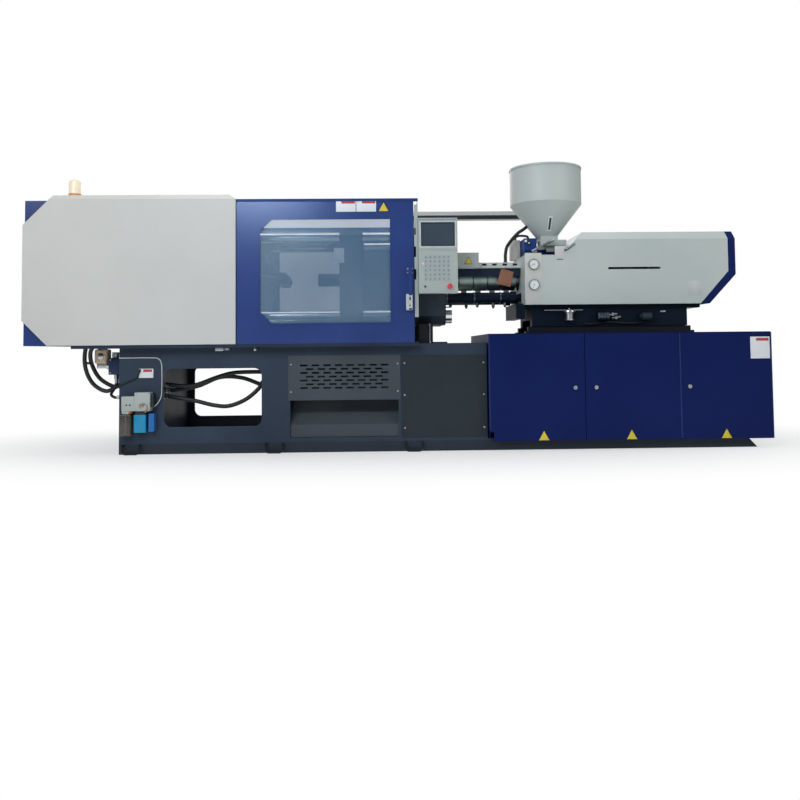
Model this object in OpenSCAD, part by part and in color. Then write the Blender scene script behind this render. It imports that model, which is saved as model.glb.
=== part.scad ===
/* [Overall] */
// Length over the covers
total_l = 5300; // [5000:10:5600]
// Depth over the two outer cover panels
total_d = 1200; // [1160:10:1300]
// Height of the bed's top above the floor
bed_h = 765; // [700:5:820]
// Height of the injection axis above the bed
axis_rise = 500; // [470:5:540]

/* [Bed] */
// How far the covers overhang the bed at its clamp end
bed_overhang = 649; // [500:5:700]
// Gap between the bed's end and the cabinet
bed_gap = 8; // [4:1:20]
// Outer width of the bed
bed_w = 1000; // [960:10:1040]
// Thickness of the bed's plates
plate_t = 12; // [8:1:16]
// Height of the two skid beams
skid_h = 85; // [70:5:100]
// Width of the two skid beams
skid_w = 100; // [80:5:140]
// How far the skids stop short of the cabinet's end
skid_setback = 119; // [60:1:200]
// Height of the two beams along the bed's top
top_beam_h = 75; // [60:5:90]
// Length of the see-through opening in each side plate
opening_l = 690; // [600:10:760]
// Height of the see-through opening
opening_h = 410; // [360:10:440]
// Corner radius of the see-through opening
opening_r = 55; // [30:5:80]
// From the bed's end to the see-through opening
opening_in = 313; // [280:1:360]
// Thickness of the folded sheet metal
sheet_t = 3; // [2:0.5:4]
// Thickness of the slide strips under the platens
strip_t = 10; // [8:1:16]
// Width of the slide strips
strip_w = 60; // [50:5:80]
// Bar diameter of the anchor loops
loop_bar = 14; // [10:1:18]
// Length of an anchor loop
loop_l = 133; // [110:1:150]

/* [Front panels] */
// Length of the louvred panel
grille_l = 799; // [780:1:810]
// Height of the louvred panel
grille_h = 320; // [300:5:340]
// Length of one slot in the louvred panel
slot_l = 53; // [40:1:60]
// Height of one slot
slot_h = 12; // [8:1:14]
// Pitch of the slots along a row
slot_pitch = 82; // [76:1:86]
// Pitch of the rows of slots
row_pitch = 26.8; // [22:0.2:28]
// Number of rows of slots
slot_rows = 7; // [5:2:7]
// Length of the plain side panel
side_panel_l = 612; // [590:1:616]

/* [Cabinet] */
// Height of the cabinet's top above the floor
cabinet_h = 828; // [800:2:860]
// Height of the doors' lower edge above the floor
cabinet_clear = 67; // [50:1:80]
// Depth of the cabinet with its doors
cabinet_d = 1120; // [1080:10:1150]
// Thickness of the cabinet's top plate
cabinet_top_t = 12; // [8:1:16]
// Thickness of a cabinet door
cab_door_t = 18; // [14:1:24]
// Width of the first cabinet door's bay
bay_1 = 684; // [640:1:720]
// Width of the second cabinet door's bay
bay_2 = 686; // [640:1:720]
// Gap round the cabinet doors
door_slit = 4; // [3:1:6]
// Radius of a door lock
lock_r = 15; // [10:1:18]
// Height of the locks above the floor
lock_z = 440; // [380:5:500]
// Length of the notch in the first door's lower corner
door_notch_l = 26; // [20:1:40]
// Height of that notch
door_notch_h = 65; // [50:1:80]

/* [Clamp covers] */
// Length of the clamp cover
cover_l = 1484; // [1400:2:1500]
// Height of the clamp cover's side panels
cover_h = 1030; // [1000:5:1060]
// Size of the corners cut off the side panels
cover_corner = 177; // [140:1:200]
// Gap between the side panels and the shell
cover_gap = 35; // [32:1:40]
// Thickness of the shell's sheet
shell_t = 4; // [3:0.5:5]
// Rise of the roof panel above the side panels
roof_rise = 38; // [30:1:50]
// Diameter of the beacon
beacon_d = 92; // [80:1:100]
// Height of the beacon
beacon_h = 118; // [100:1:130]

/* [Safety doors] */
// Length of a safety door
door_l = 1252; // [1230:2:1270]
// Thickness of a safety door
door_t = 18; // [14:1:20]
// Gap between the front cover panel and the door
door_set = 9; // [8:0.5:11]
// Length of the window
window_l = 932; // [880:2:960]
// Height of the window
window_h = 747; // [700:1:780]
// Cut corners of the window
window_corner = 82; // [60:1:100]
// From the door's closing edge to the window
window_in = 161; // [140:1:180]
// Thickness of the window pane
pane_t = 5; // [4:1:8]
// Height of the rear door
rear_door_h = 985; // [950:5:1000]
// Length of the doors' handles
handle_l = 296; // [260:2:320]

/* [Clamp unit] */
// Distance between the tie bars' centres
tie_pitch = 580; // [560:2:600]
// Diameter of the tie bars
tie_d = 80; // [70:1:85]
// Width and height of the platens
platen_w = 720; // [700:5:760]
// Thickness of the fixed platen
fixed_t = 232; // [200:1:240]
// Thickness of the moving platen's plate
moving_t = 170; // [150:1:180]
// Thickness of the tail platen
tail_t = 200; // [180:1:220]
// Space between the platens with the clamp closed
mould_gap = 378; // [360:1:400]
// Reach of the moving platen's lugs to their pin
moving_lug = 112; // [100:1:130]
// Reach of the tail platen's lugs to their pin
tail_lug = 140; // [130:1:150]
// Length of a rear toggle link between pins
rear_link_l = 250; // [240:1:255]
// Length of a front toggle link between pins
front_link_l = 370; // [360:1:380]
// Height of the toggle pins above the axis
toggle_h = 300; // [296:1:306]
// Radius of the toggle links' eyes
eye_r = 42; // [38:1:44]
// Thickness of a toggle link plate
link_t = 34; // [28:1:34]
// Radius of the toggle pins
toggle_pin_r = 24; // [20:1:26]
// Radius of the locating hole in the fixed platen
locate_r = 80; // [60:1:80]
// Distance between the mould bolts' holes
bolt_pitch = 420; // [400:5:440]
// Radius of the mould bolts' holes
bolt_r = 10; // [8:0.5:11]
// Radius of the clamp cylinder
clamp_r = 110; // [95:1:120]
// Length of the clamp cylinder
clamp_l = 540; // [500:5:560]
// Radius of the clamp cylinder's rod
clamp_rod_r = 45; // [35:1:50]
// Travel of the crosshead when the clamp opens
cross_travel = 165; // [165:1:170]
// Radius of the ejector rod
ejector_r = 20; // [14:1:24]

/* [Control panel] */
// Width of the control panel
panel_w = 278; // [260:2:300]
// Height of the control panel
panel_h = 536; // [500:2:560]
// Depth of the control panel
panel_d = 60; // [50:2:80]
// Radius of the emergency stop button
stop_r = 20; // [16:1:24]

/* [Injection unit] */
// From the fixed platen to the injection cover
barrel_reach = 592; // [570:2:620]
// Length of the injection cover
inj_l = 1582; // [1560:2:1600]
// Width of the injection cover
inj_w = 660; // [620:10:700]
// Height of the injection cover's sides
inj_h = 486; // [470:2:500]
// Height that the cover is lower at its barrel end
inj_step = 115; // [100:1:130]
// Length of the cover's lower part
inj_low_l = 276; // [260:2:290]
// Width of the bevel along the cover's top
inj_bevel = 60; // [40:2:70]
// From the cover's barrel end to its long slot
cover_slot_in = 624; // [600:2:650]
// Length of the cover's long slot
cover_slot_l = 391; // [360:1:410]
// Width of the carriage frame
frame_w = 500; // [480:5:520]
// Width of the end cap's band
cap_w = 55; // [40:1:70]
// Length of the cut corner at the cover's end
cap_cut_l = 201; // [180:1:220]
// Height of the cut corner
cap_cut_h = 217; // [200:1:230]
// Outer radius of the barrel
barrel_r = 70; // [60:1:75]
// Radius of the screw
screw_shaft_r = 25; // [20:1:30]
// Outer radius of the heater bands
band_r = 92; // [85:1:98]
// Number of heater bands
band_count = 4; // [3:1:5]
// Travel of the injection carriage
carriage_travel = 280; // [200:10:300]
// Travel of the injection ram
ram_travel = 180; // [150:10:200]

/* [Hopper] */
// Outer radius of the hopper
hopper_r = 276; // [250:2:290]
// Height of the hopper's straight wall
hopper_wall_h = 282; // [260:2:300]
// Height of the hopper's cone
hopper_cone_h = 268; // [250:2:290]
// Radius of the hopper's neck
neck_r = 68; // [55:1:75]
// Thickness of the hopper's wall
hopper_t = 4; // [3:0.5:6]
// From the cover's barrel end to the hopper's centre
hopper_in = 231; // [220:1:240]

/* [Fits] */
// Clearance of a running fit on the radius
run_c = 0.05; // [0.02:0.01:0.08]
// Clearance between parts that slide past each other
slide_c = 1; // [0.5:0.5:2]
// Gap between a part and what it seats on
seat_c = 0.3; // [0.2:0.1:0.5]

/* [Hidden] */
$fn = 64;

// Places along the machine, from its clamp end at -X to its cabinet end at +X
x_left = -total_l / 2;
x_right = total_l / 2;
x_bed = x_left + bed_overhang;
x_cover = x_left + cover_l;
x_door = x_cover + door_slit;
x_door_end = x_door + door_l;
x_fixed = x_door_end + 10;
x_fixed_end = x_fixed + fixed_t;
x_moving = x_fixed - mould_gap;
x_moving_pin = x_moving - moving_t - moving_lug;
x_knee = x_moving_pin - front_link_l;
x_tail_pin = x_knee - rear_link_l;
x_tail = x_tail_pin - tail_lug;
x_tail_end = x_tail - tail_t;
x_opening = x_bed + opening_in;
x_grille = x_moving - 532;
x_side = x_grille + grille_l + 6;
x_side_end = x_side + side_panel_l;
x_cab = x_side_end + bed_gap + 2;
x_bed_end = x_cab - bed_gap;
x_bay_2 = x_cab + bay_1;
x_bay_3 = x_bay_2 + bay_2;
x_inj = x_fixed_end + barrel_reach;
x_inj_end = x_inj + inj_l;
x_hopper = x_inj + hopper_in;

// Heights and depths
z_axis = bed_h + axis_rise;
z_cover = bed_h + 5;
z_cover_top = z_cover + cover_h - 5;
y_front = -total_d / 2;
y_shell = y_front + sheet_t + cover_gap;
y_door = y_front + sheet_t + door_set;
y_bed = -bed_w / 2;
y_cab = -cabinet_d / 2;
z_strip = bed_h + strip_t;
z_inj = z_axis - 221;
z_inj_top = z_inj + inj_h;
z_hopper = z_inj_top + 40;
z_cone = z_hopper + hopper_cone_h;
z_rim = z_cone + hopper_wall_h;
tie_o = tie_pitch / 2;
platen_o = platen_w / 2;
lug_r = eye_r + 4;

// Layers of the toggle's plates, measured from the middle plane
cross_y0 = 25;
rear_y0 = 61;
front_y0 = rear_y0 + link_t + 5;
aux_in = 150;
aux_drop = 70;
cross_pin_h = 80;
cross_rise = toggle_h - aux_drop - cross_pin_h;
cross_link_l = 160;
cross_run = sqrt(cross_link_l * cross_link_l - cross_rise * cross_rise);
x_cross = x_tail_pin + aux_in + cross_run;
aux_r = 28;
aux_pin_r = 14;
cross_bar = 35;
arm_0 = 45;
arm_1 = 112;
rod_y = 195;
guide_rod_r = 20;

// How deep pieces of one part run into each other where they are welded or cast together
sink = 3;

module slab(x0, x1, y0, y1, z0, z1) {
  translate([x0, y0, z0]) cube([x1 - x0, y1 - y0, z1 - z0]);
}
module rod_x(x0, x1, y, z, r) {
  translate([x0, y, z]) rotate([0, 90, 0]) cylinder(h = x1 - x0, r = r);
}
module rod_y(x, y0, y1, z, r) {
  translate([x, y1, z]) rotate([90, 0, 0]) cylinder(h = y1 - y0, r = r);
}
module rod_z(x, y, z0, z1, r) {
  translate([x, y, z0]) cylinder(h = z1 - z0, r = r);
}
// Raises an outline drawn in X and Z to the depth from y0 to y1
module wall(y0, y1) {
  translate([0, y1, 0]) rotate([90, 0, 0]) linear_extrude(height = y1 - y0) children();
}
module rounded(x0, x1, z0, z1, r) {
  translate([x0 + r, z0]) square([x1 - x0 - 2 * r, z1 - z0]);
  translate([x0, z0 + r]) square([x1 - x0, z1 - z0 - 2 * r]);
  for (x = [x0 + r, x1 - r], z = [z0 + r, z1 - r]) translate([x, z]) circle(r = r);
}
module both_sides() {
  children();
  mirror([0, 1, 0]) children();
}

// Smooth path through hand-picked points, and a round tube along it
function curve_point(p, i, t) =
  let (a = p[max(i - 1, 0)], b = p[i], c = p[i + 1], d = p[min(i + 2, len(p) - 1)])
  0.5 * (2 * b + (c - a) * t + (2 * a - 5 * b + 4 * c - d) * t * t + (3 * b - a - 3 * c + d) * t * t * t);
function smooth(p, n) =
  [for (i = [0 : len(p) - 2]) for (k = [0 : n - 1]) curve_point(p, i, k / n), p[len(p) - 1]];
function unit(v) = v / norm(v);
module tube(points, r, sides = 8, steps = 4) {
  path = smooth(points, steps);
  n = len(path);
  ring = [for (i = [0 : n - 1])
    let (t = i == 0 ? unit(points[1] - points[0])
             : i == n - 1 ? unit(points[len(points) - 1] - points[len(points) - 2])
             : unit(path[i + 1] - path[i - 1]),
         s = unit(cross(t, abs(t.y) > 0.9 ? [1, 0, 0] : [0, 1, 0])),
         v = cross(t, s))
    for (k = [0 : sides - 1])
      path[i] + r * (cos(360 * k / sides) * s + sin(360 * k / sides) * v)];
  faces = concat(
    [[for (k = [0 : sides - 1]) k]],
    [[for (k = [sides - 1 : -1 : 0]) (n - 1) * sides + k]],
    [for (i = [0 : n - 2]) for (k = [0 : sides - 1])
      [i * sides + k, (i + 1) * sides + k, (i + 1) * sides + (k + 1) % sides,
       i * sides + (k + 1) % sides]]);
  polyhedron(ring, faces);
}

// Bed: skids, top beams, slide strips, the fixed platen's blocks, carriage rails and the anchor loops
x_rail = x_inj + 15;
rail_l = 1270;
rail_y = 215;
rail_h = 21;
x_strip = x_tail_end - 180;
module skid(y0) {
  wall(y0, y0 + skid_w)
    polygon([[x_bed, 0], [x_right - skid_setback + 20, 0], [x_right - skid_setback - 60, skid_h],
             [x_bed, skid_h]]);
}
module anchor_loop(x0, side) {
  bend = 25;
  z_low = loop_bar / 2;
  reach = 40;
  y_bar = side * (reach - y_bed);
  y_in = side * (-y_bed - sink);
  for (x = [x0 + z_low, x0 + loop_l - z_low]) {
    rod_z(x, y_bar, z_low + bend, skid_h - 15, z_low);
    rod_y(x, min(y_bar, y_in), max(y_bar, y_in), skid_h - 15 - z_low, z_low);
  }
  rod_x(x0 + z_low + bend, x0 + loop_l - z_low - bend, y_bar, z_low, z_low);
  translate([x0 + z_low + bend, y_bar, z_low + bend])
    rotate([90, 0, 0]) rotate([0, 0, 180]) rotate_extrude(angle = 90) translate([bend, 0]) circle(r = z_low);
  translate([x0 + loop_l - z_low - bend, y_bar, z_low + bend])
    rotate([90, 0, 0]) rotate([0, 0, 270]) rotate_extrude(angle = 90) translate([bend, 0]) circle(r = z_low);
}
module bed_beams() {
  color("#2b3742") {
    both_sides() {
      skid(y_bed);
      slab(x_bed, x_bed_end, y_bed + plate_t, y_bed + 120, bed_h - top_beam_h, bed_h);
      slab(x_strip, x_fixed_end, y_bed + plate_t + 45, y_bed + plate_t + 45 + strip_w, bed_h - sink, z_strip);
      slab(x_fixed + 29, x_fixed + 129, -shoe_y1, -shoe_y0, z_strip - sink, z_axis - platen_o);
      slab(x_rail, x_rail + rail_l, -rail_y - 45, -rail_y + 45, cabinet_h, cabinet_h + rail_h);
      slab(x_rail + 20, x_rail + rail_l - 20, -rail_y - 25, -rail_y + 25, cabinet_h + rail_h - sink,
           cabinet_h + rail_h + 35);
    }
    for (side = [-1, 1], x = [x_bed + 26, x_opening + opening_l + 26, x_grille + grille_l + 26])
      anchor_loop(x, side);
  }
}

// Bed: the two side plates, with the see-through opening and the windows for the panels
module side_plate(y0) {
  wall(y0, y0 + plate_t)
    difference() {
      translate([x_bed, skid_h]) square([x_bed_end - x_bed, bed_h - skid_h]);
      rounded(x_opening, x_opening + opening_l, 190, 190 + opening_h, opening_r);
      translate([x_grille + 15, skid_h + 20]) square([grille_l - 30, 565]);
      translate([x_side + 20, skid_h + 30]) square([side_panel_l - 40, 540]);
    }
}
module bed_side_plates() {
  color("#2f3c47") {
    side_plate(y_bed);
    wall(-y_bed - plate_t, -y_bed)
      difference() {
        translate([x_bed, skid_h]) square([x_bed_end - x_bed, bed_h - skid_h]);
        rounded(x_opening, x_opening + opening_l, 190, 190 + opening_h, opening_r);
      }
  }
}

// Bed: the plates across it
cross_xs = [x_bed, x_opening - 60, x_opening + opening_l + 40, x_grille, x_side - plate_t / 2,
  x_bed_end - plate_t];
module bed_cross_plates() {
  color("#27323b")
  for (x = cross_xs) slab(x, x + plate_t, y_bed + plate_t, -y_bed - plate_t, skid_h, bed_h - top_beam_h);
}

// Louvred panel over the drop chute, with staggered rows of slots
z_grille = skid_h + 20 + 262;
module grille_panel() {
  n = floor((grille_l - 2 * 88) / slot_pitch) + 1;
  x_mid = x_grille + grille_l / 2;
  z_top = z_grille + grille_h - 72;
  color("#434b50")
  wall(y_bed - sheet_t, y_bed)
    difference() {
      translate([x_grille, z_grille]) square([grille_l, grille_h]);
      for (row = [0 : slot_rows - 1]) {
        count = n - row % 2;
        for (k = [0 : count - 1])
          translate([x_mid + (k - (count - 1) / 2) * slot_pitch - slot_l / 2,
                     z_top - row * row_pitch - slot_h / 2])
            square([slot_l, slot_h]);
      }
    }
}
z_side = skid_h + 12;
side_h = 583;
module side_panel() {
  color("#303a3f")
  slab(x_side, x_side_end, y_bed - sheet_t, y_bed, z_side, z_side + side_h);
}

// Drop chute: a folded plate that slopes to the front and ends in an upright lip
module drop_chute() {
  x0 = x_grille + plate_t;
  x1 = x_side - plate_t / 2;
  y0 = y_bed + plate_t;
  lip = 85;
  z0 = skid_h + 21;
  t = sheet_t;
  color("#41484c")
  translate([x0, 0, 0]) rotate([90, 0, 90]) linear_extrude(height = x1 - x0)
    polygon([[y0, z0], [y0 + t, z0], [y0 + t, z0 + lip], [y0 + 90, z0 + lip + 75], [440, z0 + 430],
             [440, z0 + 430 + t + 2], [y0 + 90 - t, z0 + lip + 79 + t], [y0, z0 + lip + t]]);
}

// Cabinet under the injection unit
z_floor = skid_h;
y_cab_body = y_cab + cab_door_t + seat_c;
module cabinet_body() {
  color("#16205c") {
    difference() {
      slab(x_cab, x_right, y_cab_body, -y_cab, z_floor, cabinet_h);
      for (bay = [[x_cab + 4, x_bay_2 - 2], [x_bay_2 + 2, x_bay_3 - 2], [x_bay_3 + 2, x_right - 4]])
        slab(bay[0], bay[1], y_cab_body - 1, -y_cab - 4, z_floor + 6, cabinet_h - cabinet_top_t);
    }
  }
}
module oil_tank() {
  z0 = z_floor + 6;
  z1 = z0 + 0.52 * cabinet_h;
  color("#3b4a55")
  difference() {
    union() {
      slab(x_cab + 40, x_bay_2 - 40, -200, -y_cab - 10, z0, z1);
      rod_z(x_cab + 0.22 * bay_1, 60, z1 - sink, z1 + 50, 45);
      rod_z(x_bay_2 - 0.23 * bay_1, 100, z1 - sink, z1 + 80, 60);
    }
    slab(x_cab + 46, x_bay_2 - 46, -194, -y_cab - 16, z0 + 6, z1 - 6);
  }
}
module pump_motor() {
  z0 = z_floor + 6;
  x0 = x_bay_2 + 60;
  z_m = z0 + 200;
  color("#4b555c") {
    slab(x0, x0 + 540, -180, 120, z0, z0 + 20);
    for (x = [x0 + 60, x0 + 240]) slab(x, x + 40, -120, 60, z0 + 20 - sink, z_m - 80);
    rod_x(x0 + 30, x0 + 330, -30, z_m, 130);
    rod_x(x0 + 330 - sink, x0 + 380, -30, z_m, 90);
    rod_x(x0 + 380 - sink, x0 + 520, -30, z_m, 75);
    slab(x0 + 120, x0 + 240, -80, 20, z_m + 110, z_m + 180);
  }
}
module electric_plate() {
  z0 = z_floor + 6;
  x0 = x_bay_3 + 40;
  color("#b9bdb8") {
    slab(x0, x_right - 40, 200, 203, z0, z0 + 640);
    for (x = [x0, x_right - 43]) slab(x, x + 3, 201, 260, z0, z0 + 640);
    slab(x0 + 40, x0 + 220, 60, 201, z0 + 330, z0 + 600);
    slab(x0 + 260, x0 + 540, 120, 201, z0 + 440, z0 + 560);
    slab(x0 + 260, x0 + 540, 140, 201, z0 + 250, z0 + 350);
    slab(x0 + 40, x0 + 540, 160, 201, z0 + 80, z0 + 150);
  }
}

// A cabinet door: a folded tray with its lock, hinged at its outer front edge
module cabinet_door(x0, x1, x_lock) {
  z1 = cabinet_h - 4;
  y1 = y_cab + cab_door_t;
  color("#131c5c") {
    difference() {
      slab(x0, x1, y_cab, y1, cabinet_clear, z1);
      slab(x0 + sheet_t, x1 - sheet_t, y_cab + sheet_t, y1 + 1, cabinet_clear + sheet_t, z1 - sheet_t);
    }
    rod_y(x_lock, y_cab - 8, y_cab + sheet_t, lock_z, lock_r);
    rod_y(x_lock, y_cab, y1 - 2, lock_z, lock_r - 5);
  }
}
module cabinet_door_1() {
  x0 = x_cab + 2;
  difference() {
    cabinet_door(x0, x_bay_2 - door_slit / 2, x_bay_2 - 73);
    slab(x0 - 1, x0 + door_notch_l, y_cab - 1, 0, cabinet_clear - 1, cabinet_clear + door_notch_h);
  }
}
module cabinet_door_2() {
  cabinet_door(x_bay_2 + door_slit / 2, x_bay_3 - door_slit / 2, x_bay_2 + 77);
}
module cabinet_door_3() {
  cabinet_door(x_bay_3 + door_slit / 2, x_right - 2, x_bay_3 + 61);
}

// Clamp cover: the blue shell, the two pale outer panels and the roof
module clamp_shell() {
  z_top = z_cover_top;
  color("#33488c")
  difference() {
    slab(x_left, x_cover, y_shell, -y_shell, z_cover, z_top);
    slab(x_left + shell_t, x_cover + 1, y_shell + shell_t, -y_shell - shell_t, z_cover - 1,
         z_top - shell_t);
    slab(x_left + cover_corner + 60, x_cover - 60, y_shell + 60, -y_shell - 60,
         z_top - shell_t - 1, z_top + 1);
  }
}
module cover_panel() {
  c = cover_corner;
  x_bracket = x_left + 240;
  wall(y_front, y_front + sheet_t)
    polygon([[x_left, z_cover + c], [x_left + c, z_cover], [x_cover, z_cover], [x_cover, z_cover_top],
             [x_left + c, z_cover_top], [x_left, z_cover_top - c]]);
  slab(x_cover - sheet_t, x_cover, y_front + 1, y_front + sheet_t + 6, z_cover + 10, z_cover_top - 10);
  slab(x_bracket, x_bracket + 30, y_front + 1, y_shell, z_cover + 80, z_cover_top - 80);
}
module cover_panels() {
  color("#c5c6c0") both_sides() cover_panel();
}
module roof_outline(inset) {
  polygon([[x_left + cover_corner + inset, z_cover_top],
           [x_left + cover_corner + inset, z_cover_top + 1],
           [x_left + cover_corner + 18 + inset, z_cover_top + roof_rise - inset],
           [x_cover - 52 - inset, z_cover_top + roof_rise - inset],
           [x_cover - inset, z_cover_top + 1],
           [x_cover - inset, z_cover_top]]);
}
module roof_body(inset) {
  intersection() {
    wall(y_front + inset, -y_front - inset) roof_outline(inset);
    translate([x_left, 0, 0]) rotate([90, 0, 90]) linear_extrude(height = cover_l)
      polygon([[y_front + inset, z_cover_top], [-y_front - inset, z_cover_top],
               [-y_front - inset, z_cover_top + 1], [-y_front - inset - 40, z_cover_top + roof_rise - inset],
               [y_front + inset + 40, z_cover_top + roof_rise - inset], [y_front + inset, z_cover_top + 1]]);
  }
}
module roof_panel() {
  color("#c9cac4")
  difference() {
    roof_body(0);
    translate([0, 0, -0.01]) roof_body(sheet_t);
  }
}
beacon_x = x_left + 326;
module beacon() {
  z0 = z_cover_top + roof_rise;
  y0 = y_front + 100;
  base_h = 18;
  r = beacon_d / 2;
  color("#e8c9a8")
  translate([beacon_x, y0, z0])
    rotate_extrude()
      polygon([[0, 0], [r, 0], [r, base_h], [r - 4, base_h], [r - 5, beacon_h - 14],
               [r - 12, beacon_h - 3], [0, beacon_h]]);
}

// Door guides: a rail under each safety door and a channel over it
door_z = z_cover - 1;
front_door_h = z_cover_top - 6 - door_z;
door_travel = 1120;
channel_h = 19;
x_guide = x_left + 340;
module guide_set(y0) {
  rail_top = door_z - seat_c;
  slab(x_guide, x_fixed + 22, y0 - 3, y_bed, rail_top - 22, rail_top - 14);
  slab(x_guide, x_fixed + 22, y0 - 3, y0 + door_t + 5, rail_top - 16, rail_top);
  slab(x_guide, x_fixed + 22, y0 + door_t + 3, y0 + door_t + 8, rail_top - 16, rail_top + 10);
}
module top_channel(y0, z_top) {
  difference() {
    slab(x_cover + 2, x_fixed + 22, y0 - 4, y0 + door_t + 4, z_top - channel_h, z_top);
    slab(x_cover + 1, x_fixed + 23, y0 - slide_c, y0 + door_t + slide_c, z_top - channel_h - 1,
         z_top - 5);
  }
  slab(x_cover - 60, x_cover + 8, y0 - 2, y_shell, z_top - 5, z_top);
}
module door_guides() {
  color("#2c3f80") {
    guide_set(y_door);
    top_channel(y_door, z_cover_top);
    mirror([0, 1, 0]) {
      guide_set(y_door);
      top_channel(y_door, door_z + rear_door_h + 6);
    }
  }
}

// Safety doors with their windows
z_window = door_z + 138;
module window_outline(grow) {
  x0 = x_door_end - window_in - window_l - grow;
  x1 = x_door_end - window_in + grow;
  z0 = z_window - grow;
  z1 = z_window + window_h + grow;
  c = window_corner;
  polygon([[x0 + c, z0], [x1, z0], [x1, z1], [x0 + c, z1], [x0, z1 - c], [x0, z0 + c]]);
}
module door_leaf(h) {
  wall(y_door, y_door + door_t)
    difference() {
      translate([x_door, door_z]) square([door_l, h]);
      window_outline(0);
    }
}
handle_x = x_door_end - 40;
handle_z0 = door_z + 231;
handle_z1 = handle_z0 + handle_l;
handle_out = 36;
module door_handle() {
  for (z = [handle_z0, handle_z1 - 30])
    slab(handle_x, handle_x + 24, y_front - 26, y_door + sink, z, z + 30);
  slab(handle_x, handle_x + 24, y_front - handle_out, y_front - 24, handle_z0, handle_z1);
}
module front_door() {
  color("#2e4390") {
    door_leaf(front_door_h);
    door_handle();
  }
}
module front_window() {
  color("#8fb2cc") wall(y_door + 8, y_door + 8 + pane_t) window_outline(-seat_c);
}
module rear_door() {
  color("#2e4390") mirror([0, 1, 0]) {
    door_leaf(rear_door_h);
    door_handle();
  }
}
module rear_window() {
  color("#8fb2cc") mirror([0, 1, 0]) wall(y_door + 8, y_door + 8 + pane_t) window_outline(-seat_c);
}

// Fixed guards beside the doors, with notches in the front one's flange, and the purge guard's rod
guard_w = 26;
module guard_set(z1, notches, z_web) {
  x0 = x_door_end + 4;
  z0 = bed_h + 185;
  wall(y_door, y_door + sheet_t)
    difference() {
      translate([x0, z0]) square([guard_w, z1 - z0]);
      for (k = [0 : notches - 1]) translate([x0 - 1, z1 - 215 - k * 160]) square([13, 75]);
    }
  slab(x0 + guard_w - sheet_t, x0 + guard_w, y_door + 1, -platen_o, z0, z_web);
}
module fixed_guard() {
  z_channel = door_z + rear_door_h + 6 - channel_h;
  color("#b5bbb5") {
    guard_set(z_cover_top - 45, 3, z_cover_top - channel_h);
    mirror([0, 1, 0]) guard_set(z_channel - 15, 0, z_channel);
    rod_x(x_fixed_end, x_fixed_end + 105 + guard_l, guard_pin_y, guard_pin_z, hinge_r);
  }
}

// Platens, tie bars and clamp cylinder
module bores(x0, x1, r) {
  for (y = [-tie_o, tie_o], z = [z_axis - tie_o, z_axis + tie_o]) rod_x(x0, x1, y, z, r);
}
module bolt_holes(x0, x1) {
  for (y = [-bolt_pitch / 2, bolt_pitch / 2], z = [z_axis - bolt_pitch / 2, z_axis + bolt_pitch / 2])
    rod_x(x0, x1, y, z, bolt_r);
}
module platen_plate(x0, x1) {
  c = 60;
  o = platen_o;
  translate([x0, 0, z_axis]) rotate([90, 0, 90]) linear_extrude(height = x1 - x0)
    polygon([[-o + c, -o], [o - c, -o], [o, -o + c], [o, o - c], [o - c, o], [-o + c, o], [-o, o - c],
             [-o, -o + c]]);
}
shoe_y1 = -y_bed - plate_t - 50;
shoe_y0 = shoe_y1 - 210;
module shoes(x0, x1, z1) {
  both_sides() slab(x0, x1, -shoe_y1, -shoe_y0, z_strip + slide_c, z1);
}
module fixed_platen() {
  color("#26333d")
  difference() {
    platen_plate(x_fixed, x_fixed_end);
    bores(x_fixed - 1, x_fixed_end + 1, tie_d / 2);
    rod_x(x_fixed - 1, x_fixed + 40, 0, z_axis, locate_r);
    rod_x(x_fixed + 39, x_fixed_end + 1, 0, z_axis, 60);
    bolt_holes(x_fixed - 1, x_fixed + 60);
  }
}
tie_nut_t = 45;
module tie_bars() {
  color("#d3d6d8") {
    bores(x_tail_end - 240, x_fixed_end, tie_d / 2);
    bores(x_fixed_end, x_fixed_end + tie_nut_t, tie_d / 2 + 22);
  }
}
module lug(x_pin, x_face, z, y0, y1) {
  back = x_face > x_pin ? x_face : x_pin;
  front = x_face > x_pin ? x_pin : x_face;
  wall(y0, y1) {
    translate([x_pin, z]) circle(r = lug_r);
    translate([front, z - lug_r]) square([back - front, 2 * lug_r]);
  }
}
module tail_platen() {
  color("#3a4650")
  difference() {
    union() {
      platen_plate(x_tail_end, x_tail);
      shoes(x_tail_end, x_tail, z_axis - platen_o + 30);
      for (z = [z_axis - toggle_h, z_axis + toggle_h]) {
        both_sides() lug(x_tail_pin, x_tail - sink, z, front_y0, front_y0 + link_t);
        rod_y(x_tail_pin, -front_y0 - sink, front_y0 + sink, z, toggle_pin_r);
      }
      both_sides() rod_x(x_tail - sink, x_cross + arm_1 + 13, rod_y, z_axis, guide_rod_r);
      for (y = [-tie_o, tie_o], z = [z_axis - tie_o, z_axis + tie_o])
        rod_x(x_tail_end - 50, x_tail_end + sink, y, z, tie_d / 2 + 22);
    }
    bores(x_tail_end - 60, x_tail + 1, tie_d / 2 + run_c);
    rod_x(x_tail_end - 1, x_tail + 1, 0, z_axis, clamp_rod_r + slide_c);
  }
}
module clamp_cylinder() {
  x1 = x_tail_end;
  x0 = x1 - clamp_l;
  color("#4a5660")
  difference() {
    union() {
      rod_x(x0, x1, 0, z_axis, clamp_r - 12);
      rod_x(x1 - 50, x1, 0, z_axis, clamp_r + 30);
      rod_x(x0, x0 + 50, 0, z_axis, clamp_r);
      slab(x0 + 60, x0 + 120, -40, 40, z_axis + clamp_r - 30, z_axis + clamp_r + 30);
    }
    rod_x(x0 + 40, x1 + 1, 0, z_axis, clamp_rod_r + run_c);
  }
}
ejector_l = 180;
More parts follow.
